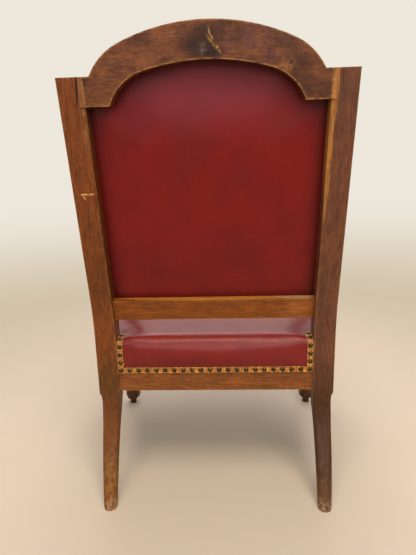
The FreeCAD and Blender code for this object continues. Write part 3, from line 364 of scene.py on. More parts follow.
def seat_corner(inset):
    """Angle on the bow where it meets the side line, both moved in by an inset."""
    reach = POST_OUTER - RAIL_RECESS + SPLAY * POST_FRONT - inset
    radius = BOW_RADIUS - inset
    square = SPLAY ** 2 + 1
    half = reach * SPLAY + BOW_CENTRE
    y = (half - math.sqrt(half ** 2 - square * (reach ** 2 + BOW_CENTRE ** 2 - radius ** 2))) / square
    return math.asin((reach - SPLAY * y) / radius)


def seat_ring(inset, z):
    """Outline of the seat frame moved in by an inset, from the rear right round to the front right."""
    rear = RAIL_REAR - inset
    rear_x = side_x(rear, inset)
    corner = seat_corner(inset)
    bow = [on_bow(corner * (1 - step / BOW_STEPS), -inset, z) for step in range(2 * BOW_STEPS + 1)]
    return [Vector((-rear_x, rear, z)), Vector((rear_x, rear, z))] + bow


def quarter_turns(steps):
    """Angles from nothing to a quarter of a turn, evenly spaced."""
    return [math.pi / 2 * step / steps for step in range(steps + 1)]


def on_back(x, inward, along):
    """Point of the leaning back, by distance in from its rear face and along its height."""
    y = BACK_LINE + along * math.sin(RECLINE) - inward * math.cos(RECLINE)
    return Vector((x, y, along * math.cos(RECLINE) + inward * math.sin(RECLINE)))


def up(height):
    """Distance along the leaning back of a height on its rear face."""
    return height / math.cos(RECLINE)


def arch_points(half_width, rise, end_radius, base, steps):
    """Points of the three-centred inner arch, from its left springing to its right."""
    end_x = half_width - end_radius * math.sin(INNER_ARCH_ANGLE)
    end_z = -end_radius * math.cos(INNER_ARCH_ANGLE)
    drop = end_z - rise
    crown_radius = (end_radius ** 2 - end_x ** 2 - drop ** 2) / (2 * (drop + end_radius))
    spread = math.atan2(end_x, end_z - rise + crown_radius)
    left = []
    for step in range(steps):
        turn = INNER_ARCH_ANGLE + (spread - INNER_ARCH_ANGLE) * step / steps
        left.append((end_x + end_radius * math.sin(turn), base + end_z + end_radius * math.cos(turn)))
    crown = []
    for step in range(2 * steps + 1):
        turn = spread * (1 - step / steps)
        crown.append((crown_radius * math.sin(turn), base + rise - crown_radius * (1 - math.cos(turn))))
    right = [(-x, along) for x, along in reversed(left)]
    return left + crown + right


def stretch(start, end, steps):
    """Points from one place towards another, without the last."""
    return [tuple(a + (b - a) * step / steps for a, b in zip(start, end)) for step in range(steps)]


def back_outline(growth, fine=1):
    """Opening of the back frame grown all round, as points across and along the back."""
    half = POST_INNER + growth
    low = up(LOWER_RAIL_TOP) - growth
    shoulder = up(SHOULDER_HEIGHT) + growth
    spring = INNER_ARCH_HALF + growth
    rise = up(INNER_ARCH_TOP - SHOULDER_HEIGHT)
    arch = arch_points(spring, rise, INNER_ARCH_RADIUS + growth, shoulder, 12 * fine)
    points = stretch((half, low), (half, shoulder), 20 * fine)
    points += stretch((half, shoulder), (spring, shoulder), 3 * fine)
    points += arch[:-1]
    points += stretch((-spring, shoulder), (-half, shoulder), 3 * fine)
    points += stretch((-half, shoulder), (-half, low), 20 * fine)
    points += stretch((-half, low), (half, low), 24 * fine)
    return points


def back_ring(growth, inward):
    """Outline of the back's opening grown all round, at a distance in from the rear face."""
    return [on_back(x, inward, along) for x, along in back_outline(growth)]


def edge_distances(points, outline):
    """Distance of each flat point from a closed outline."""
    starts = numpy.array(outline)
    runs = numpy.roll(starts, -1, axis=0) - starts
    squares = numpy.maximum((runs ** 2).sum(axis=1), 1e-12)
    nearest = []
    for point in numpy.array(points):
        share = numpy.clip(((point - starts) * runs).sum(axis=1) / squares, 0, 1)
        nearest.append(numpy.linalg.norm(starts + runs * share[:, None] - point, axis=1).min())
    return nearest


# Materials

def add(tree, kind, inputs=(), **settings):
    """Node of a kind with its settings; an input, by socket identifier, is a link or a value."""
    node = tree.nodes.new("ShaderNode" + kind)
    for name, value in settings.items():
        setattr(node, name, value)
    sockets = {socket.identifier: socket for socket in node.inputs}
    for name, value in dict(inputs).items():
        if isinstance(value, bpy.types.NodeSocket):
            tree.links.new(value, sockets[name])
        else:
            sockets[name].default_value = value
    return node


def new_material(name):
    """Empty node material, with the place of a point on the chair."""
    material = bpy.data.materials.new(name)
    material.use_nodes = True
    tree = material.node_tree
    tree.nodes.clear()
    place = add(tree, "TexCoord").outputs["Object"]
    return material, tree, place


def finished(material, inputs):
    """Material whose shader has the given inputs and is joined to the output."""
    shader = add(material.node_tree, "BsdfPrincipled", inputs)
    add(material.node_tree, "OutputMaterial", {"Surface": shader.outputs["BSDF"]})
    return material


def coated(tree, base, coat, share, *masks, blend="MIX"):
    """Colour with a coat over it, as strong as a share times its masks."""
    strength = share
    for mask in masks:
        strength = add(tree, "Math", {"Value": mask, "Value_001": strength},
                       operation="MULTIPLY").outputs["Value"]
    both = add(tree, "Mix", {"Factor_Float": strength, "A_Color": base, "B_Color": coat},
               data_type="RGBA", blend_type=blend)
    return next(socket for socket in both.outputs if socket.identifier == "Result_Color")


def clouded(tree, space, size, low, high, detail=3.0):
    """Soft mask of clouds or streaks with features of a size in the units of a space."""
    field = add(tree, "TexNoise", {"Vector": space, "Scale": 1 / size, "Detail": detail, "Roughness": 0.6})
    return add(tree, "MapRange", {"Value": field.outputs["Fac"], "From Min": low, "From Max": high},
               interpolation_type="SMOOTHSTEP").outputs["Result"]


def outer_edges(tree, radius, low, high):
    """Mask of the outer edges of a piece, from the bend of its normal over a radius."""
    round_over = add(tree, "Bevel", {"Radius": radius}, samples=6)
    surface = add(tree, "NewGeometry")
    normals = {"Vector": round_over.outputs["Normal"], "Vector_001": surface.outputs["Normal"]}
    facing = add(tree, "VectorMath", normals, operation="DOT_PRODUCT")
    span = {"Value": facing.outputs["Value"], "From Min": low, "From Max": high, "To Min": 1.0, "To Max": 0.0}
    return add(tree, "MapRange", span, interpolation_type="SMOOTHSTEP").outputs["Result"]


def corners(tree, distance, low, high):
    """Mask of the places near other surfaces, where dirt and tarnish gather and shade falls; darkening laid
    on by it paints that shade.
    """
    shade = add(tree, "AmbientOcclusion", {"Distance": distance}, samples=8)
    span = {"Value": shade.outputs["AO"], "From Min": low, "From Max": high, "To Min": 1.0, "To Max": 0.0}
    return add(tree, "MapRange", span).outputs["Result"]


def mark(centre, radii, tone, strength=1.0, soft=0.9, turn=0.0, broken=0.0):
    """Settings of one marked place; its radii and the size of the gaps in it are millimetres."""
    return {"centre": centre, "radii": [radius * MM for radius in radii], "tone": linear(tone),
            "strength": strength, "soft": soft, "turn": turn, "broken": broken * MM}


def marked(tree, base, place, spot):
    """Colour with one marked place: an ellipsoid about a point, softened and broken up by noise."""
    about = {"Vector": place, "Location": spot["centre"], "Scale": spot["radii"],
             "Rotation": (0, spot["turn"], 0)}
    inside = add(tree, "Mapping", about, vector_type="TEXTURE")
    ball = add(tree, "TexGradient", {"Vector": inside.outputs["Vector"]}, gradient_type="SPHERICAL")
    masks = [add(tree, "MapRange", {"Value": ball.outputs["Fac"], "From Max": spot["soft"]},
                 interpolation_type="SMOOTHSTEP").outputs["Result"]]
    if spot["broken"]:
        masks.append(clouded(tree, place, spot["broken"], 0.38, 0.6))
    return coated(tree, base, spot["tone"], spot["strength"], *masks)


def shaded(tone, share):
    """Colour made darker or lighter by a share of its light."""
    return [min(1, value * share) for value in tone[:3]] + [1.0]


def straightened(tree, place):
    """Space of a post in which its leaning back and its raked leg stand in one upright line."""
    parts = add(tree, "SeparateXYZ", {"Vector": place})
    top = (CREST_HEIGHT - POST_BEND_HEIGHT) * math.tan(RECLINE)
    lean = add(tree, "MapRange", {"Value": parts.outputs["Z"], "From Min": POST_BEND_HEIGHT,
                                  "From Max": CREST_HEIGHT, "To Max": top})
    rake = add(tree, "MapRange", {"Value": parts.outputs["Z"], "From Max": LEG_BEND_HEIGHT,
                                  "To Min": LEG_KICK, "To Max": 0.0})
    shift = add(tree, "Math", {"Value": lean.outputs["Result"], "Value_001": rake.outputs["Result"]})
    upright = add(tree, "Math", {"Value": parts.outputs["Y"], "Value_001": shift.outputs["Value"]},
                  operation="SUBTRACT")
    return add(tree, "CombineXYZ", {"X": parts.outputs["X"], "Y": upright.outputs["Value"],
                                    "Z": parts.outputs["Z"]}).outputs["Vector"]


def drawn_out(tree, line, grain, draw, seed):
    """Space in millimetres, drawn out along the grain so that noise in it makes streaks."""
    size = [MM, MM, MM]
    size["XYZ".index(grain)] = draw * MM
    return add(tree, "Mapping", {"Vector": line, "Location": (seed, seed, seed), "Scale": size},
               vector_type="TEXTURE").outputs["Vector"]


PALE_FIBRE = (1.75, 1.7, 1.6, 1)  # light of a fibre and of an open pore beside the wood around them
DARK_PORE = (0.34, 0.31, 0.28, 1)


def waxed_wood(name, look, seed):
    """Old beech, stained and waxed: streaks along the grain, blotched wax, golden edges, corners darkened by
    dirt and by painted shade.

    The streaks and flecks are about three times as broad as real fibres, so that they show at a few paces.
    """
    tones = colours()
    stain = linear(look["stain"])
    blotch = linear(look["blotch"])
    material, tree, place = new_material(name)
    line = straightened(tree, place) if look["bent"] else place
    fibres = drawn_out(tree, line, look["grain"], 14, seed)
    loose = drawn_out(tree, line, look["grain"], 3, seed)
    patchy = drawn_out(tree, line, look["grain"], 1.8, seed)
    figure = clouded(tree, fibres, 16.0, 0.36, 0.66, 4.0)
    streak = clouded(tree, fibres, 3.0, 0.42, 0.6)
    pore = clouded(tree, fibres, 2.4, 0.5, 0.62, 2.0)
    cloud = clouded(tree, patchy, 42.0, 0.4, 0.62, 5.0)
    fleck = clouded(tree, patchy, 4.0, 0.42, 0.66, 6.0)
    base = coated(tree, shaded(stain, 0.84), shaded(stain, 1.08), 1.0, figure)
    base = coated(tree, base, blotch, look["cloud"], cloud)
    broad = outer_edges(tree, 11 * MM, 0.9, 0.998)
    base = coated(tree, base, shaded(tones.wood_worn, 0.6), 0.5 * look["wear"], broad,
                  clouded(tree, loose, 14.0, 0.45, 0.62))
    for spot in look["marks"]:
        base = marked(tree, base, place, spot)
    base = coated(tree, base, PALE_FIBRE, 0.4 * look["streak"], streak, blend="MULTIPLY")
    base = coated(tree, base, DARK_PORE, 0.5 * look["streak"], pore, blend="MULTIPLY")
    base = coated(tree, base, DARK_PORE, look["fleck"], fleck, blend="MULTIPLY")
    rubbed = outer_edges(tree, look["edge"], 0.88, 0.985)
    base = coated(tree, base, tones.wood_worn, look["wear"], rubbed, clouded(tree, loose, 6.0, 0.4, 0.58))
    for chip in look["chips"]:
        base = marked(tree, base, place, chip)
    # Dirt in the corners, and painted shade there too: this darkens every place near another surface.
    base = coated(tree, base, tones.wood_grime_and_shade, look["grime_and_shade"], corners(tree, 9 * MM, 0.4, 0.9))
    shine = add(tree, "MapRange", {"Value": cloud, "To Min": 0.4, "To Max": 0.55})
    relief = add(tree, "Bump", {"Height": streak, "Strength": 0.2, "Distance": 0.3 * MM})
    return finished(material, {"Base Color": base, "Roughness": shine.outputs["Result"],
                               "Specular IOR Level": 0.22, "Normal": relief.outputs["Normal"]})


def tanned_hide(name, polish, marks=()):
    """Oxblood hide, dyed, polished and aged: soft cloudy colour, pebbled grain, painted shade along its edges
    near the frame.

    The pebbles are drawn at twice their real size, so that they show at a few paces.
    """
    tones = colours()
    material, tree, place = new_material(name)
    cloud = clouded(tree, place, 90 * MM, 0.38, 0.64, 4.0)
    mottle = clouded(tree, place, 7 * MM, 0.4, 0.72, 4.0)
    base = coated(tree, shaded(tones.oxblood, 1.07), tones.oxblood_deep, 0.34, cloud)
    base = coated(tree, base, tones.oxblood_deep, 0.16, mottle)
    for spot in marks:
        base = marked(tree, base, place, spot)
    # Painted shade: very deep oxblood laid wherever the leather lies near the frame, as under the crest and
    # beside the posts.
    base = coated(tree, base, shaded(tones.oxblood_deep, 0.45), 0.95, corners(tree, 46 * MM, 0.3, 0.92))
    shine = add(tree, "MapRange", {"Value": cloud, "To Min": 0.3, "To Max": 0.38})
    pebble = add(tree, "TexVoronoi", {"Vector": place, "Scale": 1 / (2.4 * MM)}, feature="SMOOTH_F1")
    relief = add(tree, "Bump", {"Height": pebble.outputs["Distance"], "Strength": 0.02, "Distance": 0.3 * MM})
    return finished(material, {"Base Color": base, "Roughness": shine.outputs["Result"],
                               "Specular IOR Level": polish, "Normal": relief.outputs["Normal"]})


def plaited_silk():
    """Silk braid, plaited and faded: golden satin thread, worn pink in places, with painted shade in its
    hollows and beside the nails.
    """
    tones = colours()
    material, tree, place = new_material("plaited_silk_braid")
    thread = add(tree, "TexNoise", {"Vector": place, "Scale": 1 / (1.2 * MM), "Detail": 2.0})
    base = coated(tree, tones.braid_thread, linear("#9C5630"), 0.75, clouded(tree, place, 11 * MM, 0.42, 0.6))
    base = coated(tree, base, tones.braid_cord, 0.9, clouded(tree, place, 7 * MM, 0.52, 0.6))
    base = coated(tree, base, tones.braid_cord, 0.2, thread.outputs["Fac"])
    # Painted shade: brown laid in the hollows and round the nails, wherever the braid lies near another
    # surface.
    base = coated(tree, base, linear("#5A2E10"), 0.8, corners(tree, 6 * MM, 0.4, 0.95))
    relief = add(tree, "Bump", {"Height": thread.outputs["Fac"], "Strength": 0.4, "Distance": 0.3 * MM})
    return finished(material, {"Base Color": base, "Roughness": 0.62, "Sheen Weight": 0.2,
                               "Normal": relief.outputs["Normal"]})


def tarnished_brass():
    """Pressed brass, tarnished with rubbed crowns: dark rims and a dull gold shine on top."""
    tones = colours()
    material, tree, place = new_material("tarnished_pressed_brass")
    dark = clouded(tree, place, 4 * MM, 0.35, 0.65)
    base = coated(tree, tones.brass, tones.brass_dark, 0.9, dark)
    base = coated(tree, base, tones.brass_dark, 1.0, corners(tree, 5 * MM, 0.45, 0.95))
    rough = add(tree, "MapRange", {"Value": dark, "To Min": 0.3, "To Max": 0.5})
    return finished(material, {"Base Color": base, "Metallic": 1.0, "Roughness": rough.outputs["Result"]})


def drawn_steel(name):
    """Drawn steel wire with a dry brown oxide: grey shine broken by rust."""
    material, tree, place = new_material(name)
    rust = clouded(tree, place, 9 * MM, 0.45, 0.65)
    base = coated(tree, linear("#8A8782"), linear("#6B4630"), 0.7, rust)
    rough = add(tree, "MapRange", {"Value": rust, "To Min": 0.35, "To Max": 0.7})
    return finished(material, {"Base Color": base, "Metallic": 1.0, "Roughness": rough.outputs["Result"]})


def woven_jute(name, thread, pale, dark, lean=0.0):
    """Woven jute: crossing threads with a dusty, fibrous surface; thread is the spacing of the weave."""
    material, tree, place = new_material(name)
    flat = add(tree, "Mapping", {"Vector": place, "Rotation": (-lean, 0, 0)},
               vector_type="TEXTURE").outputs["Vector"]
    heights = []
    for axis in ("X", "Y", "Z"):
        lines = {"Vector": flat, "Scale": math.pi / (10 * thread), "Distortion": 0.6}
        heights.append(add(tree, "TexWave", lines, bands_direction=axis).outputs["Fac"])
    weave = add(tree, "Math", {"Value": heights[0], "Value_001": heights[1]}, operation="MAXIMUM")
    weave = add(tree, "Math", {"Value": weave.outputs["Value"], "Value_001": heights[2]},
                operation="MULTIPLY_ADD")
    base = coated(tree, linear(dark), linear(pale), 1.0, weave.outputs["Value"])
    base = coated(tree, base, linear(dark), 0.4, clouded(tree, place, 25 * MM, 0.4, 0.7))
    relief = add(tree, "Bump", {"Height": weave.outputs["Value"], "Strength": 0.6, "Distance": 0.4 * MM})
    return finished(material, {"Base Color": base, "Roughness": 0.9, "Normal": relief.outputs["Normal"]})


def curled_hair():
    """Carded horsehair and fibre: a dark springy mat."""
    material, tree, place = new_material("carded_horsehair")
    strand = clouded(tree, place, 5 * MM, 0.4, 0.6, 6.0)
    base = coated(tree, linear("#2A221C"), linear("#6A5844"), 1.0, strand)
    relief = add(tree, "Bump", {"Height": strand, "Strength": 0.8, "Distance": 2 * MM})
    return finished(material, {"Base Color": base, "Roughness": 0.95, "Normal": relief.outputs["Normal"]})


# Wooden frame

def foot_marks(side, strength):
    """Pale wear low on a rear leg and at its foot."""
    return (mark((side * 0.2565, 0.26, 0.06), (50, 80, 90), "#86602A", strength, broken=9),
            mark((side * 0.2565, 0.282, 0.0), (50, 50, 34), "#A08560", 0.85, broken=9))


def front_foot_shade(side):
    """Painted shade low on a front leg, where it stands in the shadow under the seat."""
    return (mark((side * 0.27, -0.25, 0.0), (110, 150, 220), "#38220E", 0.8, 0.5),)


LEFT_POST_MARKS = (
    mark((0.2455, 0.29, 0.938), (5.5, 60, 50), "#8C5C36", 0.6, 0.2),
    mark((0.2525, 0.284, 0.943), (2.4, 20, 42), "#170903", 1.0, 0.4, turn=-0.12),
    mark((0.246, 0.275, 0.865), (8, 40, 70), "#96642F", 0.6, 0.6, broken=12),
    mark((0.262, 0.255, 0.78), (22, 60, 60), "#5A2C1C", 0.5, broken=16),
    mark((0.268, 0.235, 0.68), (16, 60, 80), "#4E2816", 0.45, broken=14),
    mark((0.262, 0.22, 0.27), (60, 90, 130), "#553713", 0.75, 0.6),
    mark((0.268, 0.2, 0.54), (50, 90, 140), "#4A2A0E", 0.35),
    mark((0.262, 0.24, 0.11), (80, 160, 130), "#5E3A10", 0.6, 0.8),
    # Darker over the post's inner face beside the recessed panel: painted shade.
    mark((POST_INNER, 0.24, 0.7), (2.5, 200, 300), "#3A1A06", 0.55, 0.3),
) + foot_marks(1, 0.85)
LEFT_POST_CHIPS = (
    mark((0.2615, 0.246, 0.7430), (18, 12, 2.6), "#DFAE62", 1.0, 0.4, broken=14),
    mark((0.2690, 0.246, 0.737), (3.5, 12, 9), "#CB9448", 0.85, 0.5, turn=0.4, broken=5),
)
RIGHT_POST_MARKS = (
    mark((-0.2475, 0.29, 0.925), (7, 60, 75), "#A06833", 0.75, 0.3),
    mark((-0.2445, 0.26, 0.82), (6, 60, 200), "#AE7437", 0.8, 0.4),
    mark((-0.262, 0.22, 0.14), (90, 160, 240), "#40260E", 0.9, 0.7),
) + foot_marks(-1, 0.15)
CREST_MARKS = (
    mark((0.008, 0.299, 1.010), (60, 40, 46), "#26130C", 0.75, 0.7),
    mark((-0.016, 0.298, 0.996), (28, 40, 15), "#24120D", 0.85, 0.7),
    mark((0.006, 0.299, 1.036), (38, 40, 9), "#331B12", 0.7, turn=0.35, broken=9),
    mark((0.006, 0.297, 1.003), (17, 30, 15), "#6A5A50", 0.65, broken=9),
    mark((0.19, 0.296, 0.965), (60, 40, 70), "#6E4426", 0.3, broken=12),
    mark((-0.10, 0.297, 1.010), (130, 40, 60), "#653C37", 0.7, turn=0.3, broken=30),
    mark((-0.124, 0.297, 0.992), (26, 40, 22), "#472629", 0.7, broken=12),
    mark((-0.148, 0.297, 0.968), (34, 40, 22), "#A0683A", 0.7, turn=0.7, broken=8),
)
CREST_CHIPS = (
    mark((-0.018, 0.298, 1.012), (4.4, 30, 30), "#B07F40", 0.85, 0.8, turn=0.56, broken=5),
    mark((-0.011, 0.298, 1.014), (3.2, 30, 22), "#A87838", 0.8, 0.8, turn=0.66, broken=4),
    mark((-0.008, 0.298, 1.031), (2, 30, 12), "#C59A58", 0.85, 0.8, turn=0.2, broken=4),
)
LOWER_RAIL_MARKS = (
    mark((-0.20, 0.19, 0.463), (60, 60, 40), "#A0602A", 0.6),
    # Lighter along the rail's top face, where light from above falls: a painted highlight.
    mark((0.0, 0.17, 0.4965), (300, 60, 8), "#A5702E", 0.8, 0.1),
    mark((-0.20, 0.17, 0.4965), (70, 60, 8.5), "#A08460", 0.7, 0.2),
)
PLAIN_LOOK = {"grain": "Z", "stain": "#713C1B", "blotch": "#582C14", "cloud": 0.5, "streak": 1.0,
              "fleck": 0.3, "wear": 0.6, "edge": 3.5 * MM, "grime_and_shade": 0.4, "marks": (), "chips": (),
              "bent": False}
WOOD_LOOKS = {
    "back_post_left": dict(PLAIN_LOOK, stain="#7E4218", blotch="#6A3512", marks=LEFT_POST_MARKS,
                           chips=LEFT_POST_CHIPS, bent=True),
    "back_post_right": dict(PLAIN_LOOK, stain="#6C4029", blotch="#543424", marks=RIGHT_POST_MARKS, bent=True),
    "crest_rail": dict(PLAIN_LOOK, grain="X", stain="#794728", blotch="#43251A", cloud=0.8, streak=0.6,
                       fleck=0.5, wear=0.9, edge=6 * MM, marks=CREST_MARKS, chips=CREST_CHIPS),
    "lower_back_rail": dict(PLAIN_LOOK, grain="X", stain="#874813", blotch="#6E3A12", fleck=0.2,
                            marks=LOWER_RAIL_MARKS, grime_and_shade=0.1),
    "rear_seat_rail": dict(PLAIN_LOOK, grain="X", stain="#854D21", blotch="#71401C", fleck=0.4),
    "front_seat_rail": dict(PLAIN_LOOK, grain="X"),
    "side_rail_left": dict(PLAIN_LOOK, grain="Y"),
    "side_rail_right": dict(PLAIN_LOOK, grain="Y"),
    # The front legs carry painted shade low down.
    "front_leg_left": dict(PLAIN_LOOK, marks=front_foot_shade(1)),
    "front_leg_right": dict(PLAIN_LOOK, marks=front_foot_shade(-1)),
    "arm_left": dict(PLAIN_LOOK, grain="Y", stain="#763F18"),
    "arm_right": dict(PLAIN_LOOK, grain="Y", stain="#763F18"),
}
CARVED_LOOK = dict(PLAIN_LOOK, stain="#7A451F", wear=0.8, edge=2 * MM, grime_and_shade=0.85)
BLOCK_LOOK = dict(PLAIN_LOOK, grain="X", stain="#A9814F", blotch="#8C683C", wear=0.2)
BLOCK_PIECES = ("corner_block_rear_left", "corner_block_rear_right", "corner_block_front_left",
                "corner_block_front_right")


def soften(node, width):
    """Round the sharp edges of a wooden node."""
    add_modifier(node, "WELD", merge_threshold=0.02 * MM)
    add_modifier(node, "BEVEL", width=width, segments=3, limit_method="ANGLE", angle_limit=math.radians(32))


class ARMCHAIR_OT_frame(bpy.types.Operator):
    """Gives the joined wooden frame its worn edges and waxed wood."""

    bl_idname = "armchair.frame"
    bl_label = "Wooden frame"

    def execute(self, context):
        for number, (name, look) in enumerate(WOOD_LOOKS.items()):
            soften(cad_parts[name], width=sizes().worn_edge)
            dress(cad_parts[name], waxed_wood("waxed_beech_" + name, look, seed=0.13 * number))
        return {"FINISHED"}


class ARMCHAIR_OT_blocks(bpy.types.Operator):
    """Gives the corner blocks their sawn, unpolished wood."""

    bl_idname = "armchair.blocks"
    bl_label = "Corner blocks"

    def execute(self, context):
        sawn = waxed_wood("sawn_beech_blocks", BLOCK_LOOK, seed=2.1)
        for name in BLOCK_PIECES:
            soften(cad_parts[name], width=0.6 * MM)
            dress(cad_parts[name], sawn)
        return {"FINISHED"}


# Carving on the front of the frame

CARVING_SINK = 0.4 * MM
CARVING_SKIN = 0.8 * MM
RAY_START = 0.2  # in front of the wood, from where its surface is looked for


def fan_rows(base, reach, height):
    """Ribs of a scallop shell that fans out above its base: places across and along, with their heights."""
    ribs = 9
    half_angle = 1.3
    half = 54
    rows = []
    for step in range(2 * half + 1):
        spread = step / half - 1
        turn = half_angle * spread
        rib = abs(math.cos(ribs / 2 * math.pi * spread))
        edge = reach * (0.92 + 0.08 * rib)
        row = []
        for share in (0.15, 0.3, 0.45, 0.6, 0.72, 0.82, 0.9, 0.96, 1.0):
            rise = height * (0.4 + 0.6 * rib) * min(1, 0.3 + share) * (1 - share ** 6) ** 0.5
            row.append((edge * share * math.sin(turn), base + edge * share * math.cos(turn), rise))
        rows.append(row)
    return rows


def flower_rows(x, z, reach, petals, height):
    """Petals round a middle; a flower without petals is a plain boss."""
    steps = 96
    rows = []
    for step in range(steps):
        turn = math.tau * step / steps
        petal = abs(math.cos(petals / 2 * turn))
        edge = reach * (0.78 + 0.22 * petal)
        row = []
        for share in (0.04, 0.2, 0.35, 0.5, 0.65, 0.8, 0.9, 0.97, 1.0):
            dip = math.sin(math.pi / 2 * min(1, 0.4 + share)) if petals else 1
            rise = height * (0.35 + 0.65 * petal) * dip * (1 - share ** 4) ** 0.5
            row.append((x + edge * share * math.cos(turn), z + edge * share * math.sin(turn), rise))
        rows.append(row)
    return rows


def leaf_rows(line, width, lobes, height):
    """Lobed leaf with a sunk midrib along a line of places."""
    columns = 6
    rows = []
    for number in range(1, len(line) - 1):
        share = number / (len(line) - 1)
        (x, z), before, after = line[number], line[number - 1], line[number + 1]
        run = math.dist(before, after)
        lobe = abs(math.sin(lobes * math.pi * share))
        half = width * math.sin(math.pi * share ** 0.6) ** 0.7 * (0.62 + 0.38 * lobe)
        row = []
        for column in range(2 * columns + 1):
            part = column / columns - 1
            rise = height * (0.45 + 0.55 * lobe) * (1 - part ** 4) ** 0.5 * min(1, 5 * share, 5 * (1 - share))
            rise *= 1 - 0.6 * math.exp(-(part / 0.16) ** 2)
            out = half * part
            row.append((x - out * (after[1] - before[1]) / run, z + out * (after[0] - before[0]) / run, rise))
        rows.append(row)
    return rows


def volute_rows(y, z, reach, height):
    """Ridge that winds in to the eye of a scroll, from above it forwards."""
    winding = 3.4 * math.pi
    tightness = 0.36
    half_ridge = 0.17
    steps = 89
    columns = 4
    rows = []
    for step in range(steps + 1):
        turn = winding * step / steps
        radius = reach * math.exp(-tightness * turn / math.pi)
        row = []
        for column in range(2 * columns + 1):
            part = column / columns - 1
            here = radius * (1 + half_ridge * part)
            rise = height * (1 - part ** 2) ** 0.5
            row.append((y - here * math.sin(turn), z + here * math.cos(turn), rise))
        rows.append(row)
    return rows


def carved(node, rows, place, way, closed=False):
    """Points and faces of carved wood on a node of the frame.

    A ray for each place in the rows starts where the function place says and goes the given way to the node.
    """
    surface = BVHTree.FromObject(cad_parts[node], bpy.context.evaluated_depsgraph_get())
    points = []
    for row in rows:
        for across, along, rise in row:
            hit = surface.ray_cast(place(across, along), way)[0]
            points.append(hit - way * (rise - CARVING_SINK))
    return points, grid_faces(len(rows), len(rows[0]), closed=closed)


class ARMCHAIR_OT_carving(bpy.types.Operator):
    """Carves a shell and leaves on the crest, flowers and leaves on the legs, and scrolls on the arms."""

    bl_idname = "armchair.carving"
    bl_label = "Carving"

    def execute(self, context):
        wood = waxed_wood("carved_waxed_beech", CARVED_LOOK, seed=1.7)
        pieces = {"crest_carving": self.crest()}
        for name, side in (("left", 1), ("right", -1)):
            pieces["leg_carving_" + name] = self.leg("front_leg_" + name, side)
            pieces["arm_carving_" + name] = self.arm("arm_" + name, side)
        for name, parts in pieces.items():
            piece = new_piece(name, *joined(parts), "frame_wood")
            add_modifier(piece, "SOLIDIFY", thickness=CARVING_SKIN, offset=0.0)
            dress(piece, wood)
        return {"FINISHED"}

    def crest(self):
        """Shell over the middle of the arch, and a leaf to each side that follows the bend of the rail."""
        base = up(INNER_ARCH_TOP) + 25 * MM
        leaf_rise = 15 * MM
        leaf_start = 38 * MM
        leaf_step = 2 * MM
        bend = 590 * MM
        way = Vector((0, math.cos(RECLINE), -math.sin(RECLINE)))
        places = [leaf_start + leaf_step * step for step in range(56)]
        shell = fan_rows(base, reach=35 * MM, height=3.4 * MM)
        boss = flower_rows(0, base, reach=7 * MM, petals=0, height=3.6 * MM)
        parts = [carved("crest_rail", shell, self.on_crest, way),
                 carved("crest_rail", boss, self.on_crest, way, closed=True)]
        for side in (1, -1):
            line = [(side * x, base + leaf_rise - x ** 2 / (2 * bend)) for x in places]
            leaf = leaf_rows(line, width=13 * MM, lobes=5, height=2.8 * MM)
            parts.append(carved("crest_rail", leaf, self.on_crest, way))
        return parts

    def on_crest(self, x, along):
        """Start of a ray in front of a place on the crest."""
        return on_back(x, RAY_START, along)

    def leg(self, node, side):
        """Flower with a boss on the seat block, and a leaf down the knee under it."""
        middle = BLOCK_INNER + BLOCK_WIDTH / 2
        level = (RAIL_BOTTOM + RAIL_TOP) / 2
        leaf_top = RAIL_BOTTOM - 4 * MM
        leaf_slant = 4 * MM
        leaf_length = 96 * MM
        steps = 50
        way = Vector((0, 1, 0))

        def place(x, z):
            return Vector((side * x, BOW_FRONT - RAY_START, z))

        line = []
        for step in range(steps + 1):
            line.append((middle + leaf_slant * step / steps, leaf_top - leaf_length * step / steps))
        flower = flower_rows(middle, level, reach=20 * MM, petals=8, height=3 * MM)
        boss = flower_rows(middle, level, reach=6 * MM, petals=0, height=4 * MM)
        leaf = leaf_rows(line, width=17 * MM, lobes=4, height=3.2 * MM)
        return [carved(node, flower, place, way, closed=True), carved(node, boss, place, way, closed=True),
                carved(node, leaf, place, way)]

    def arm(self, node, side):
        """Scroll with a boss in its eye on both faces of an arm's end."""
        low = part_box(node)[0]
        end_radius = 24 * MM
        y = low.y + end_radius
        z = low.z + end_radius
        scroll = volute_rows(y, z, reach=16.5 * MM, height=2.2 * MM)
        boss = flower_rows(y, z, reach=4 * MM, petals=0, height=2.6 * MM)
        parts = []
        for face in (1, -1):
            start = side * (BLOCK_INNER + BLOCK_WIDTH / 2) + face * RAY_START
            way = Vector((-face, 0, 0))

            def place(along, height):
                return Vector((start, along, height))

            parts += [carved(node, scroll, place, way), carved(node, boss, place, way, closed=True)]
        return parts


# Metal

NAIL_PIECES = ("seat_nails_rear", "seat_nails_front", "seat_nails_left", "seat_nails_right", "back_nails")


class ARMCHAIR_OT_metal(bpy.types.Operator):
    """Gives the nails, screws and springs their metals."""

    bl_idname = "armchair.metal"
    bl_label = "Nails, screws and springs"

    def execute(self, context):
        brass = tarnished_brass()
        for name in NAIL_PIECES:
            dress(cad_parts[name], brass)
        dress(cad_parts["corner_block_screws"], drawn_steel("turned_steel_screws"))
        dress(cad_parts["seat_springs"], drawn_steel("drawn_steel_springs"))
        return {"FINISHED"}


# Seat

def notches(room):
    """Limits in X and Y of the four posts that the seat is cut around, with room about them."""
    outside = 1.0
    rear = (POST_INNER - room, outside, POST_FRONT - room, outside)
    front = (BLOCK_INNER - room, outside, -outside, BLOCK_REAR + room)
    pairs = [rear, front]
    return pairs + [(-high, -low, near, far) for low, high, near, far in pairs]


def post_distance(x, y):
    """Distance of a place on the seat from the nearest of the four posts."""
    best = 1.0
    for low, high, near, far in notches(0.0):
        across = max(low - x, 0, x - high)
        along = max(near - y, 0, y - far)
        best = min(best, math.hypot(across, along))
    return best


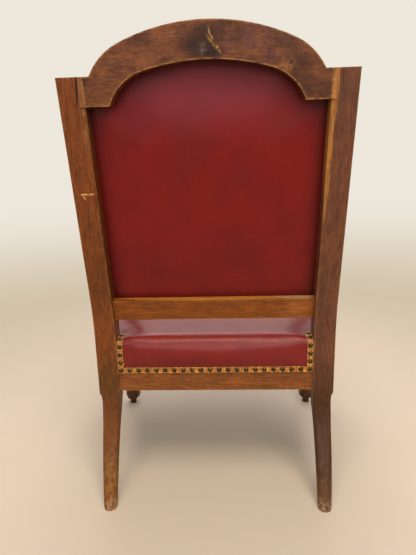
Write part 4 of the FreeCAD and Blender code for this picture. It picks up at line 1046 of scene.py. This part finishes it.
def seat_edge(x, y):
    """Distance in from the outer face of the seat leather."""
    side = (side_x(y, -COVER) - abs(x)) / math.hypot(1, SPLAY)
    bow = BOW_RADIUS + COVER - math.hypot(x, y - BOW_CENTRE)
    return max(0, min(RAIL_REAR + COVER - y, side, bow))


def roll_size():
    """Width and height of the roll along the seat's edge: an eighth of a turn up, another over its lip."""
    half = math.sqrt(0.5)
    width = sizes().roll_radius * (1 - half) + sizes().lip_radius * half
    return width, sizes().roll_radius * half + sizes().lip_radius * (1 - half)


def roll_rise(inset):
    """Height of the roll at a distance in from the seat's edge."""
    width, height = roll_size()
    if inset >= width:
        return height
    if inset > width - sizes().lip_radius * math.sqrt(0.5):
        return height - sizes().lip_radius + math.sqrt(sizes().lip_radius ** 2 - (width - inset) ** 2)
    return math.sqrt(sizes().roll_radius ** 2 - (sizes().roll_radius - inset) ** 2)


def seat_profile(inset):
    """Height of the stuffed seat at a distance in from its edge: a roll under a slow crown."""
    crown = sizes().seat_crown - roll_size()[1]
    return RAIL_TOP + roll_rise(inset) + crown * math.sin(math.pi / 2 * min(1, inset / sizes().seat_draw))


def kept_height(x, y):
    """Share of its height that the seat keeps beside the posts, where the braid draws it down."""
    lost_at_post = 0.28
    return 1 - lost_at_post * math.exp(-(post_distance(x, y) / sizes().post_draw) ** 2)


def seat_height(x, y):
    """Height of the seat leather."""
    return RAIL_TOP + (seat_profile(seat_edge(x, y)) - RAIL_TOP) * kept_height(x, y)


def seat_body(name, inset, drop, bottom, slot):
    """Closed stuffed form over the seat frame, before it is cut around the posts.

    Its outline is moved in by the inset, and its top lies under the leather by the drop.
    """
    crown_steps = 10
    width = roll_size()[0]
    reaches = [width * (1 - math.cos(turn)) for turn in quarter_turns(14)]
    for step in range(1, crown_steps + 1):
        reaches.append(width + (sizes().seat_draw - width) * step / crown_steps)
    rings = [seat_ring(inset, bottom)]
    for reach in reaches:
        height = seat_profile(reach) - drop
        if height > bottom:
            rings.append(seat_ring(inset + reach, height))
    return new_piece(name, *lofted(rings), slot)


def cut_round_posts(piece, room):
    """Cut the four posts out of a closed form and give it an even mesh."""
    heights = (0.2, 0.6)
    sides = ((3, 2, 1, 0), (4, 5, 6, 7), (0, 1, 5, 4), (1, 2, 6, 5), (2, 3, 7, 6), (3, 0, 4, 7))
    blocks = []
    for low, high, near, far in notches(room):
        plan = ((low, near), (high, near), (high, far), (low, far))
        blocks.append(([Vector((x, y, z)) for z in heights for x, y in plan], sides))
    cutter = new_mesh("post_room", *joined(blocks))
    add_modifier(piece, "BOOLEAN", object=cutter, operation="DIFFERENCE", solver="EXACT")
    add_modifier(piece, "REMESH", mode="VOXEL", voxel_size=sizes().skin_voxel)
    applied(piece)
    bpy.data.objects.remove(cutter)


def draw_down(piece):
    """Lower the top of the seat beside the posts, where the braid holds it."""
    values = places_of(piece)
    for point in values:
        above = point[2] - RAIL_TOP
        if above > 0:
            point[2] = RAIL_TOP + above * kept_height(point[0], point[1])
    set_places(piece, values)


def swell_faces(piece):
    """Swell the upright faces away from the posts, and draw them in above the braid from nail to nail."""
    flat_reach = 16 * MM
    swell_reach = 45 * MM
    pull = 0.5 * MM
    pull_reach = 9 * MM
    unevenness = 0.3 * MM
    waves_per_metre = 60
    values = places_of(piece)
    width, height = roll_size()
    roll_top = RAIL_TOP + height
    for point in values:
        x, y, z = point
        if z < roll_top and seat_edge(x, y) < width:
            share = min(1, max(0, (z - GIMP_EDGE) / (roll_top - GIMP_EDGE)))
            free = min(1, max(0, post_distance(x, y) - flat_reach) / swell_reach)
            out = sizes().belly * math.sin(math.pi * share) * free ** 2 * (3 - 2 * free)
            at_end = abs(y) > SEAT_TURN
            along = x if at_end else y
            fade = math.exp(-max(0, z - GIMP_EDGE) / pull_reach)
            out -= pull * fade * (1 + 0.6 * math.cos(2 * math.pi * along / NAIL_PITCH))
            out += unevenness * noise.noise(Vector((x, y, z)) * waves_per_metre)
            outward = Vector((x * 0.2, y, 0)) if at_end else Vector((x, 0, 0))
            point += out * numpy.array(outward.normalized())
    set_places(piece, values)


class ARMCHAIR_OT_seat(bpy.types.Operator):
    """Makes the seat's leather and the stuffing under it."""

    bl_idname = "armchair.seat"
    bl_label = "Stuffed seat"

    def execute(self, context):
        self.cover()
        self.filling()
        return {"FINISHED"}

    def cover(self):
        held_reach = 40 * MM
        leather = seat_body("seat_cover", inset=-COVER, drop=0.0, bottom=LEATHER_EDGE, slot="seat_leather")
        cut_round_posts(leather, SOFT_GAP)
        draw_down(leather)
        swell_faces(leather)
        values = places_of(leather)
        near_post = numpy.array([post_distance(x, y) < held_reach for x, y, z in values])
        inflated(leather, (values[:, 2] < GIMP_EDGE) | near_post, sizes().swell, sizes().seat_cap)
        without_faces(leather, lambda middle, normal: middle.z < LEATHER_EDGE + 2 * MM and normal.z < -0.5)
        add_modifier(leather, "SMOOTH", factor=0.5, iterations=10)
        add_modifier(leather, "SOLIDIFY", thickness=LEATHER, offset=-1.0)
        add_modifier(leather, "SUBSURF", levels=1, render_levels=1)
        dress(leather, tanned_hide("polished_oxblood_hide_seat", polish=0.34))
        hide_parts("seat_leather")

    def filling(self):
        filling = seat_body("seat_filling", inset=4 * MM, drop=6 * MM, bottom=RAIL_TOP + CANVAS,
                            slot="stuffing")
        cut_round_posts(filling, 3 * SOFT_GAP)
        draw_down(filling)
        dress(filling, curled_hair())
        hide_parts("seat_stuffing")


def seat_outline(inset):
    """Outline of the seat with its four corners cut back around the posts."""
    rear = RAIL_REAR - inset
    room = 2 * SOFT_GAP
    post_x = POST_INNER - room
    post_y = POST_FRONT - room
    block_x = BLOCK_INNER - room
    block_y = BLOCK_REAR + room
    steps = 10
    reach = math.asin(block_x / (BOW_RADIUS - inset))
    bow = [on_bow(reach * (1 - step / steps), -inset, 0) for step in range(steps + 1)]
    left = [(post_x, rear), (post_x, post_y), (side_x(post_y, inset), post_y),
            (side_x(block_y, inset), block_y), (block_x, block_y)] + [(point.x, point.y) for point in bow]
    return left + [(-x, y) for x, y in reversed(left)]


class ARMCHAIR_OT_hessian(bpy.types.Operator):
    """Makes the hessian under the stuffing of the seat and the back."""

    bl_idname = "armchair.hessian"
    bl_label = "Hessian"

    def execute(self, context):
        self.seat_canvas()
        self.back_canvas()
        return {"FINISHED"}

    def canvas(self, name, points, faces, finish, lean):
        """Stretched sheet of hessian through the points of a flat grid."""
        piece = new_piece(name, points, faces, "hessian")
        add_modifier(piece, "SOLIDIFY", thickness=CANVAS, offset=0.0)
        dress(piece, woven_jute(finish, 2.2 * MM, "#B79B6C", "#6F5836", lean))
        return piece

    def seat_canvas(self):
        flat, faces = divided_sheet(seat_outline(inset=5 * MM), spacing=12 * MM)
        points = [Vector((x, y, RAIL_TOP + CANVAS / 2)) for x, y, z in flat]
        seat = self.canvas("seat_canvas", points, faces, "plain_woven_hessian_seat", 0.0)
        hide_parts("seat_hessian")

    def back_canvas(self):
        outline = back_outline(CANVAS_REACH)
        flat, faces = divided_sheet(outline, spacing=14 * MM)
        points = [on_back(x, HESSIAN_INWARD + CANVAS / 2, along) for x, along, z in flat]
        back = self.canvas("back_canvas", points, faces, "plain_woven_hessian_back", RECLINE)
        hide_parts("back_hessian")


# Webbing

def strip_middles(count, pitch):
    """Places of evenly spaced strips about the middle."""
    return [pitch * (step - (count - 1) / 2) for step in range(count)]


def ribbon(rows, across):
    """Points and faces of a flat band through middle points; across is half its width as a vector."""
    shares = (-1, -0.9, -0.3, 0.3, 0.9, 1)
    points = []
    for row in rows:
        points += [row + across * share for share in shares]
    return points, grid_faces(len(rows), len(shares))


def woven_height(place, crossings, first, depth):
    """Height of a strip that passes over and under the strips it crosses, one after the other."""
    reach = 0.42 * WEB_WIDTH
    height = 0.0
    for number, middle in enumerate(crossings):
        side = 1 if (number + first) % 2 else -1
        height += side * depth * math.exp(-((place - middle) / reach) ** 4)
    return height


def webbing(name, middles, crossings, ends, point_at, across):
    """Woven strips: ends gives each strip's limits, point_at turns a place into a point."""
    strips = []
    for number, middle in enumerate(middles):
        start, end = ends(middle)
        steps = int((end - start) / WEB_STEP)
        rows = []
        for step in range(steps + 1):
            place = start + (end - start) * step / steps
            rows.append(point_at(middle, place, woven_height(place, crossings, number, 0.5 * WEB_THICKNESS)))
        strips.append(ribbon(rows, across * WEB_WIDTH / 2))
    piece = new_piece(name, *joined(strips), "webbing")
    add_modifier(piece, "SOLIDIFY", thickness=0.9 * WEB_THICKNESS, offset=0.0)
    return piece


def seat_span(y):
    """Limits across the seat of a strip of webbing at a depth."""
    reach = side_x(y + WEB_WIDTH / 2, WEB_EDGE)
    return -reach, reach


def seat_run(x):
    """Limits along the seat of a strip of webbing at a distance from the middle."""
    edge = abs(x) + WEB_WIDTH / 2
    front = BOW_CENTRE - math.sqrt((BOW_RADIUS - WEB_EDGE) ** 2 - edge ** 2)
    return front, RAIL_REAR - WEB_EDGE


def back_span(along):
    """Limits across the back of a strip of webbing, the same at every height."""
    reach = POST_INNER + CANVAS_REACH
    return -reach, reach


def back_run(x):
    """Limits along the back of a strip of webbing at a distance from the middle."""
    edge = abs(x) + WEB_WIDTH / 2
    near = [along for across, along in back_outline(CANVAS_REACH) if abs(across) <= edge]
    top = min(along for along in near if along > up(SHOULDER_HEIGHT))
    return up(LOWER_RAIL_TOP) - CANVAS_REACH, top


class ARMCHAIR_OT_webbing(bpy.types.Operator):
    """Makes the woven webbing under the seat and behind the back."""

    bl_idname = "armchair.webbing"
    bl_label = "Webbing"

    def execute(self, context):
        jute = woven_jute("twilled_jute_webbing", 3.2 * MM, "#C2A878", "#7B6038")
        leaning = woven_jute("twilled_jute_webbing_back", 3.2 * MM, "#C2A878", "#7B6038", RECLINE)
        level = RAIL_BOTTOM - WEB_THICKNESS
        middle = (RAIL_REAR + BOW_FRONT + FRONT_BOW) / 2
        columns = strip_middles(count=5, pitch=84 * MM)
        rows = [middle + offset for offset in strip_middles(count=5, pitch=72 * MM)]
        down = webbing("seat_webs_lengthwise", columns, rows, seat_run,
                       lambda x, y, rise: Vector((x, y, level + rise)), Vector((1, 0, 0)))
        over = webbing("seat_webs_crosswise", rows, columns, seat_span,
                       lambda y, x, rise: Vector((x, y, level - rise)), Vector((0, 1, 0)))
        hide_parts("seat_webbing_lengthwise")
        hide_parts("seat_webbing_crosswise")
        depth = WEB_INWARD + WEB_THICKNESS
        uprights = strip_middles(count=4, pitch=105 * MM)
        centre = up((LOWER_RAIL_TOP + SHOULDER_HEIGHT) / 2)
        levels = [centre + offset for offset in uprights]
        tall = webbing("back_webs_vertical", uprights, levels, back_run,
                       lambda x, along, rise: on_back(x, depth + rise, along), Vector((1, 0, 0)))
        wide = webbing("back_webs_horizontal", levels, uprights, back_span,
                       lambda along, x, rise: on_back(x, depth - rise, along),
                       Vector((0, math.sin(RECLINE), math.cos(RECLINE))))
        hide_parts("back_webbing_vertical")
        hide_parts("back_webbing_horizontal")
        for piece, material in ((down, jute), (over, jute), (tall, leaning), (wide, leaning)):
            dress(piece, material)
        return {"FINISHED"}


# Braid

def plait_height(across, along):
    """Share of the braid's thickness at a place: plaits slanting from the middle, a cord along each edge."""
    cord_edge = 0.72
    if abs(across) > cord_edge:
        off_middle = (2 * abs(across) - 1 - cord_edge) / (1 - cord_edge)
        return 0.75 + 0.25 * math.cos(off_middle * math.pi / 2)
    phase = along / sizes().plait + 0.55 * abs(across)
    return 0.5 + 0.4 * math.cos(2 * math.pi * phase)


def braid(path, width):
    """Points and faces of a braided band along a path of points with outward normals."""
    columns = 13
    points = []
    along = 0.0
    for number, (point, normal) in enumerate(path):
        before = path[max(0, number - 1)][0]
        after = path[min(len(path) - 1, number + 1)][0]
        across = (after - before).cross(normal).normalized()
        along += (point - before).length
        for column in range(columns):
            share = 2 * column / (columns - 1) - 1
            rise = GIMP_THICKNESS * plait_height(share, along)
            points.append(point + across * (share * width / 2) + normal * rise)
    return points, grid_faces(len(path), columns)


def line_path(start, end, normal):
    """Path of closely spaced points between two places with one normal."""
    steps = max(2, int((end - start).length / BRAID_STEP))
    return [(start.lerp(end, step / steps), normal) for step in range(steps + 1)]


def braided_piece(name, paths, width):
    """Piece of braid along several paths."""
    piece = new_piece(name, *joined([braid(path, width) for path in paths]), "gimp_braid")
    add_modifier(piece, "SOLIDIFY", thickness=GIMP_BACKING, offset=-1.0)
    return piece


def roll_path(x):
    """Path from the foot of the seat's roll over its top, beside the post."""
    reach = 45 * MM
    steps = 80
    path = []
    for step in range(steps + 1):
        y = RAIL_REAR + COVER - reach * (step / steps) ** 2
        path.append(Vector((x, y, seat_height(x, y))))
    normals = []
    for number in range(len(path)):
        run = path[min(len(path) - 1, number + 1)] - path[max(0, number - 1)]
        normals.append(Vector((0, run.z, -run.y)).normalized())
    return list(zip(path, normals))


def path_place(path, reach):
    """First point of a path, with its normal, at or beyond a distance along it."""
    along = 0.0
    for before, here in zip(path, path[1:]):
        along += (here[0] - before[0]).length
        if along >= reach:
            return here
    return path[-1]


def rear_braid_paths():
    """Row along the rear of the seat, and a column up each post and over the roll."""
    y = RAIL_REAR + COVER
    end = POST_INNER - SOFT_GAP
    back = Vector((0, 1, 0))
    paths = [line_path(Vector((end, y, GIMP_ROW)), Vector((-end, y, GIMP_ROW)), back)]
    for side in (1, -1):
        x = side * (end - GIMP_WIDTH / 2)
        column = line_path(Vector((x, y, GIMP_EDGE)), Vector((x, y, RAIL_TOP)), back)
        paths.append(column + roll_path(x)[1:])
    return paths


def side_braid_paths(side):
    """Row along a side of the seat, and a column up beside the posts at its ends."""
    rear = POST_FRONT - SOFT_GAP
    front = BLOCK_REAR + SOFT_GAP
    out = Vector((side, SPLAY, 0)).normalized()

    def at(y, z):
        return Vector((side * side_x(y, -COVER), y, z))

    paths = [line_path(at(rear, GIMP_ROW), at(front, GIMP_ROW), out)]
    for y in (rear - GIMP_WIDTH / 2, front + GIMP_WIDTH / 2):
        paths.append(line_path(at(y, GIMP_EDGE), at(y, GIMP_TOP), out))
    return paths


def front_braid_paths():
    """Row along the bowed front of the seat, and a column up beside each front leg."""
    reach = math.asin((BLOCK_INNER - SOFT_GAP) / (BOW_RADIUS + COVER + GIMP_THICKNESS))
    steps = int(2 * reach * BOW_RADIUS / BRAID_STEP)
    bow = []
    for step in range(steps + 1):
        angle = reach * (2 * step / steps - 1)
        bow.append((on_bow(angle, COVER, GIMP_ROW), Vector((math.sin(angle), -math.cos(angle), 0))))
    paths = [bow]
    for side in (1, -1):
        angle = side * (reach - GIMP_WIDTH / 2 / BOW_RADIUS)
        out = Vector((math.sin(angle), -math.cos(angle), 0))
        paths.append(line_path(on_bow(angle, COVER, GIMP_EDGE), on_bow(angle, COVER, GIMP_TOP), out))
    return paths


def back_braid():
    """Braid round the front of the back, mitred at its corners."""
    columns = 9
    outlines = []
    for column in range(columns):
        growth = REBATE_REACH - BACK_GIMP_WIDTH * column / (columns - 1)
        outlines.append(back_outline(growth, fine=10))
    middle = outlines[columns // 2]
    points = []
    along = 0.0
    for step in range(len(middle)):
        along += math.dist(middle[step - 1], middle[step]) if step else 0
        for column in range(columns):
            share = 2 * column / (columns - 1) - 1
            x, height = outlines[column][step]
            rise = GIMP_THICKNESS * plait_height(share, along)
            points.append(on_back(x, BACK_GIMP_INWARD + rise, height))
    piece = new_piece("back_braid", points, grid_faces(len(middle), columns, closed=True), "gimp_braid")
    add_modifier(piece, "SOLIDIFY", thickness=GIMP_BACKING, offset=-1.0)
    return piece


def nail_head(point, normal):
    """Points and faces of one domed nail head with a short shank behind it."""
    head = sizes().nail_radius
    crown = sizes().nail_crown
    shank = 0.8 * MM
    shank_length = 10 * MM
    rim = 0.6 * MM
    tip = 0.05 * MM
    steps = 8
    sides = 20
    ball = (head ** 2 + crown ** 2) / (2 * crown)
    edge = math.asin(min(1, head / ball))
    turned = normal.to_track_quat("Z", "Y")
    profile = [(shank, -shank_length), (shank, 0.0), (head - rim, 0.0)]
    for step in range(steps):
        turn = edge * (1 - step / steps)
        profile.append((ball * math.sin(turn), crown - ball + ball * math.cos(turn)))
    profile.append((tip, crown))
    points = []
    for radius, rise in profile:
        for step in range(sides + 1):
            angle = 2 * math.pi * step / sides
            points.append(point + turned @ Vector((radius * math.cos(angle), radius * math.sin(angle), rise)))
    return points, grid_faces(len(profile), sides + 1)


class ARMCHAIR_OT_braid(bpy.types.Operator):
    """Makes the braid over the edges of the leather, and the nails where it turns over the seat."""

    bl_idname = "armchair.braid"
    bl_label = "Braid"

    def execute(self, context):
        silk = plaited_silk()
        pieces = {"seat_gimp_rear": braided_piece("rear_braid", rear_braid_paths(), GIMP_WIDTH),
                  "seat_gimp_front": braided_piece("front_braid", front_braid_paths(), GIMP_WIDTH),
                  "seat_gimp_left": braided_piece("left_braid", side_braid_paths(1), GIMP_WIDTH),
                  "seat_gimp_right": braided_piece("right_braid", side_braid_paths(-1), GIMP_WIDTH),
                  "back_gimp": back_braid()}
        for node, piece in pieces.items():
            dress(piece, silk)
            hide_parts(node)
        heads = []
        for side in (1, -1):
            path = roll_path(side * (POST_INNER - SOFT_GAP - GIMP_WIDTH / 2))
            for reach in CORNER_NAILS:
                point, normal = path_place(path, reach)
                heads.append(nail_head(point + normal * GIMP_THICKNESS, normal))
        nails = new_piece("seat_corner_nails", *joined(heads), "nail_brass")
        dress(nails, bpy.data.materials["tarnished_pressed_brass"])
        return {"FINISHED"}


# Back

PANEL_SHEEN = (mark((0.0, 0.27, 0.93), (290, 200, 120), "#803C4C", 0.24),)  # painted reflection: a mauve sheen on the panel under the crest


class ARMCHAIR_OT_back(bpy.types.Operator):
    """Makes the outer leather of the back, its stuffing and the inner leather."""

    bl_idname = "armchair.back"
    bl_label = "Upholstered back"

    def execute(self, context):
        self.outer_panel()
        self.filling()
        self.inner_cover()
        return {"FINISHED"}

    def outer_panel(self):
        """Leather that closes the back, bulged a little towards the rear."""
        outline = back_outline(REBATE_REACH)
        flat, faces = divided_sheet(outline, spacing=9 * MM)
        distances = edge_distances([(x, along) for x, along, z in flat], outline)
        points = []
        for (x, along, z), distance in zip(flat, distances):
            share = min(1, max(0, distance - REBATE_REACH) / sizes().panel_draw)
            swell = sizes().panel_bulge * share ** 2 * (3 - 2 * share)
            points.append(on_back(x, PANEL_INWARD + PANEL_LEATHER / 2 - swell, along))
        panel = new_piece("back_panel", points, faces, "back_leather")
        add_modifier(panel, "SOLIDIFY", thickness=PANEL_LEATHER, offset=0.0)
        dress(panel, tanned_hide("polished_oxblood_hide_panel", polish=0.19, marks=PANEL_SHEEN))
        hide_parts("back_outer_leather")

    def pad(self, name, edge, crown, slot):
        """Closed stuffed form inside the back's opening with an even mesh."""
        rings = []
        for turn in quarter_turns(12):
            inset = sizes().pad_draw * (1 - math.cos(turn)) ** sizes().pad_roll
            rings.append(back_ring(edge - inset, PAD_INWARD + crown * math.sin(turn)))
        points, faces = lofted(rings)
        piece = new_piece(name, points, [tuple(reversed(face)) for face in faces], slot)
        add_modifier(piece, "REMESH", mode="VOXEL", voxel_size=sizes().skin_voxel)
        applied(piece)
        return piece

    def filling(self):
        filling = self.pad("back_filling", edge=2 * MM, crown=sizes().pad_crown - 4 * MM, slot="stuffing")
        dress(filling, bpy.data.materials["carded_horsehair"])
        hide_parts("back_stuffing")

    def inner_cover(self):
        held_depth = 2 * MM
        cover = self.pad("back_cover", edge=4 * MM, crown=sizes().pad_crown, slot="back_leather")
        values = places_of(cover)
        inward = -(values[:, 1] - BACK_LINE) * math.cos(RECLINE) + values[:, 2] * math.sin(RECLINE)
        inflated(cover, inward < PAD_INWARD + held_depth, sizes().swell, sizes().pad_cap)
        toward = Vector((0, math.cos(RECLINE), -math.sin(RECLINE)))
        without_faces(cover, lambda middle, normal: normal.dot(toward) > 0.7)
        add_modifier(cover, "SMOOTH", factor=0.5, iterations=4)
        add_modifier(cover, "SOLIDIFY", thickness=PANEL_LEATHER, offset=-1.0)
        add_modifier(cover, "SUBSURF", levels=1, render_levels=1)
        dress(cover, tanned_hide("polished_oxblood_hide_back", polish=0.3))
        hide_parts("back_inner_leather")


# Stage

def camera_pose():
    """Placement of the camera from its place, yaw, pitch and roll."""
    flat = math.cos(CAMERA_PITCH)
    view = Vector((math.sin(CAMERA_YAW) * flat, -math.cos(CAMERA_YAW) * flat, -math.sin(CAMERA_PITCH)))
    level = view.cross(Vector((0, 0, 1))).normalized()
    above = level.cross(view)
    right = level * math.cos(CAMERA_ROLL) - above * math.sin(CAMERA_ROLL)
    top = level * math.sin(CAMERA_ROLL) + above * math.cos(CAMERA_ROLL)
    turn = Matrix((right, top, -view)).transposed().to_4x4()
    return Matrix.Translation(CAMERA_PLACE) @ turn


LAMP_AIM = Vector((0, 0, 0.55))
LAMPS = (  # name, place, size, watts, colour
    ("key_light", (-1.0, 2.0, 2.7), (1.3, 1.3), 27, "#FFF6EA"),
    ("window_light", (0.0, 3.3, 1.9), (4.2, 1.5), 42, "#F4F5FF"),
    ("ceiling_light", (0.0, 1.15, 3.0), (2.0, 1.4), 52, "#FFE6CA"),
    ("front_light", (0.0, -1.9, 2.65), (2.4, 2.0), 42, "#FFF0F2"),
    ("overhead_light", (0.0, -0.35, 3.05), (2.0, 1.6), 20, "#FFE6DC"),
)


class ARMCHAIR_OT_stage(bpy.types.Operator):
    """Sets the floor, the soft lights, the pale surroundings and the camera."""

    bl_idname = "armchair.stage"
    bl_label = "Studio stage"

    def execute(self, context):
        self.floor()
        self.surroundings(context)
        for lamp in LAMPS:
            self.lamp(*lamp)
        camera = bpy.data.cameras.new("camera")
        camera.lens = CAMERA_LENS
        camera.sensor_width = CAMERA_SENSOR
        camera.clip_start = 0.01
        holder = bpy.data.objects.new("camera", camera)
        holder.matrix_world = camera_pose()
        context.collection.objects.link(holder)
        context.scene.camera = holder
        context.scene.view_settings.view_transform = "Standard"
        return {"FINISHED"}

    def floor(self):
        sides = 64
        turns = [math.tau * step / sides for step in range(sides)]
        rings = []
        for radius in (0.4, 0.8, 1.6, 3.2):
            rings.append([Vector((radius * math.cos(turn), radius * math.sin(turn), 0)) for turn in turns])
        points, faces = lofted(rings)
        floor = new_mesh("studio_floor", points, [faces[0]] + faces[2:])
        material, tree, place = new_material("painted_studio_floor")
        base = coated(tree, colours().floor, linear("#B6AB96"), 0.1, clouded(tree, place, 0.4, 0.3, 0.7))
        paint = add(tree, "BsdfPrincipled", {"Base Color": base, "Roughness": 0.7})
        reach = add(tree, "VectorMath", {"Vector": place}, operation="LENGTH")
        fade = add(tree, "MapRange", {"Value": reach.outputs["Value"], "From Min": 0.7, "From Max": 2.6},
                   interpolation_type="SMOOTHSTEP")
        clear = add(tree, "BsdfTransparent")
        both = add(tree, "MixShader", {"Fac": fade.outputs["Result"], "Shader": paint.outputs["BSDF"],
                                       "Shader_001": clear.outputs["BSDF"]})
        add(tree, "OutputMaterial", {"Surface": both.outputs["Shader"]})
        dress(floor, material)

    def surroundings(self, context):
        world = bpy.data.worlds.new("pale_surroundings")
        world.use_nodes = True
        tree = world.node_tree
        tree.nodes.clear()
        ray = add(tree, "LightPath")
        seen = add(tree, "Math", {"Value": ray.outputs["Is Camera Ray"],
                                  "Value_001": ray.outputs["Is Glossy Ray"]}, operation="MAXIMUM")
        seen = add(tree, "Math", {"Value": seen.outputs["Value"],
                                  "Value_001": ray.outputs["Is Transmission Ray"]}, operation="MAXIMUM")
        way = add(tree, "SeparateXYZ", {"Vector": add(tree, "TexCoord").outputs["Generated"]})
        rise = add(tree, "MapRange", {"Value": way.outputs["Z"], "From Min": -0.24, "From Max": -0.02},
                   interpolation_type="SMOOTHSTEP")
        sweep = coated(tree, linear("#D4C5AC"), linear("#EDE7DC"), 1.0, rise.outputs["Result"])
        light = add(tree, "Background", {"Color": linear("#F4F0EA"), "Strength": 0.42})
        pale = add(tree, "Background", {"Color": sweep, "Strength": 1.0})
        both = add(tree, "MixShader", {"Fac": seen.outputs["Value"], "Shader": light.outputs["Background"],
                                       "Shader_001": pale.outputs["Background"]})
        add(tree, "OutputWorld", {"Surface": both.outputs["Shader"]})
        context.scene.world = world

    def lamp(self, name, place, size, power, shade):
        light = bpy.data.lights.new(name, "AREA")
        light.shape = "RECTANGLE"
        light.size, light.size_y = size
        light.energy = power
        light.color = linear(shade)[:3]
        holder = bpy.data.objects.new(name, light)
        aim = LAMP_AIM - Vector(place)
        holder.matrix_world = Matrix.Translation(place) @ aim.to_track_quat("-Z", "Y").to_matrix().to_4x4()
        holder.visible_camera = False
        bpy.context.collection.objects.link(holder)


class ARMCHAIR_PT_pieces(bpy.types.Panel):
    """Lists the armchair's pieces, sizes and colours."""

    bl_idname = "ARMCHAIR_PT_pieces"
    bl_label = "Armchair"
    bl_space_type = "VIEW_3D"
    bl_region_type = "UI"
    bl_category = "Armchair"

    def draw(self, context):
        for operator in OPERATORS:
            self.layout.operator(operator.bl_idname)
        for group in (sizes(), colours()):
            for name in group.__annotations__:
                self.layout.prop(group, name)


OPERATORS = (ARMCHAIR_OT_stage, ARMCHAIR_OT_frame, ARMCHAIR_OT_blocks, ARMCHAIR_OT_carving, ARMCHAIR_OT_metal,
             ARMCHAIR_OT_seat, ARMCHAIR_OT_hessian, ARMCHAIR_OT_webbing, ARMCHAIR_OT_braid, ARMCHAIR_OT_back)
CLASSES = (ArmchairSizes, ArmchairColours) + OPERATORS + (ARMCHAIR_PT_pieces,)


def register():
    for part in CLASSES:
        bpy.utils.register_class(part)
    bpy.types.Scene.armchair_sizes = PointerProperty(type=ArmchairSizes)
    bpy.types.Scene.armchair_colours = PointerProperty(type=ArmchairColours)


def unregister():
    del bpy.types.Scene.armchair_colours
    del bpy.types.Scene.armchair_sizes
    for part in reversed(CLASSES):
        bpy.utils.unregister_class(part)


def main():
    register()
    bpy.ops.armchair.stage()
    bpy.ops.armchair.frame()
    bpy.ops.armchair.blocks()
    bpy.ops.armchair.carving()
    bpy.ops.armchair.metal()
    bpy.ops.armchair.seat()
    bpy.ops.armchair.hessian()
    bpy.ops.armchair.webbing()
    bpy.ops.armchair.braid()
    bpy.ops.armchair.back()


if __name__ == "__main__":
    main()
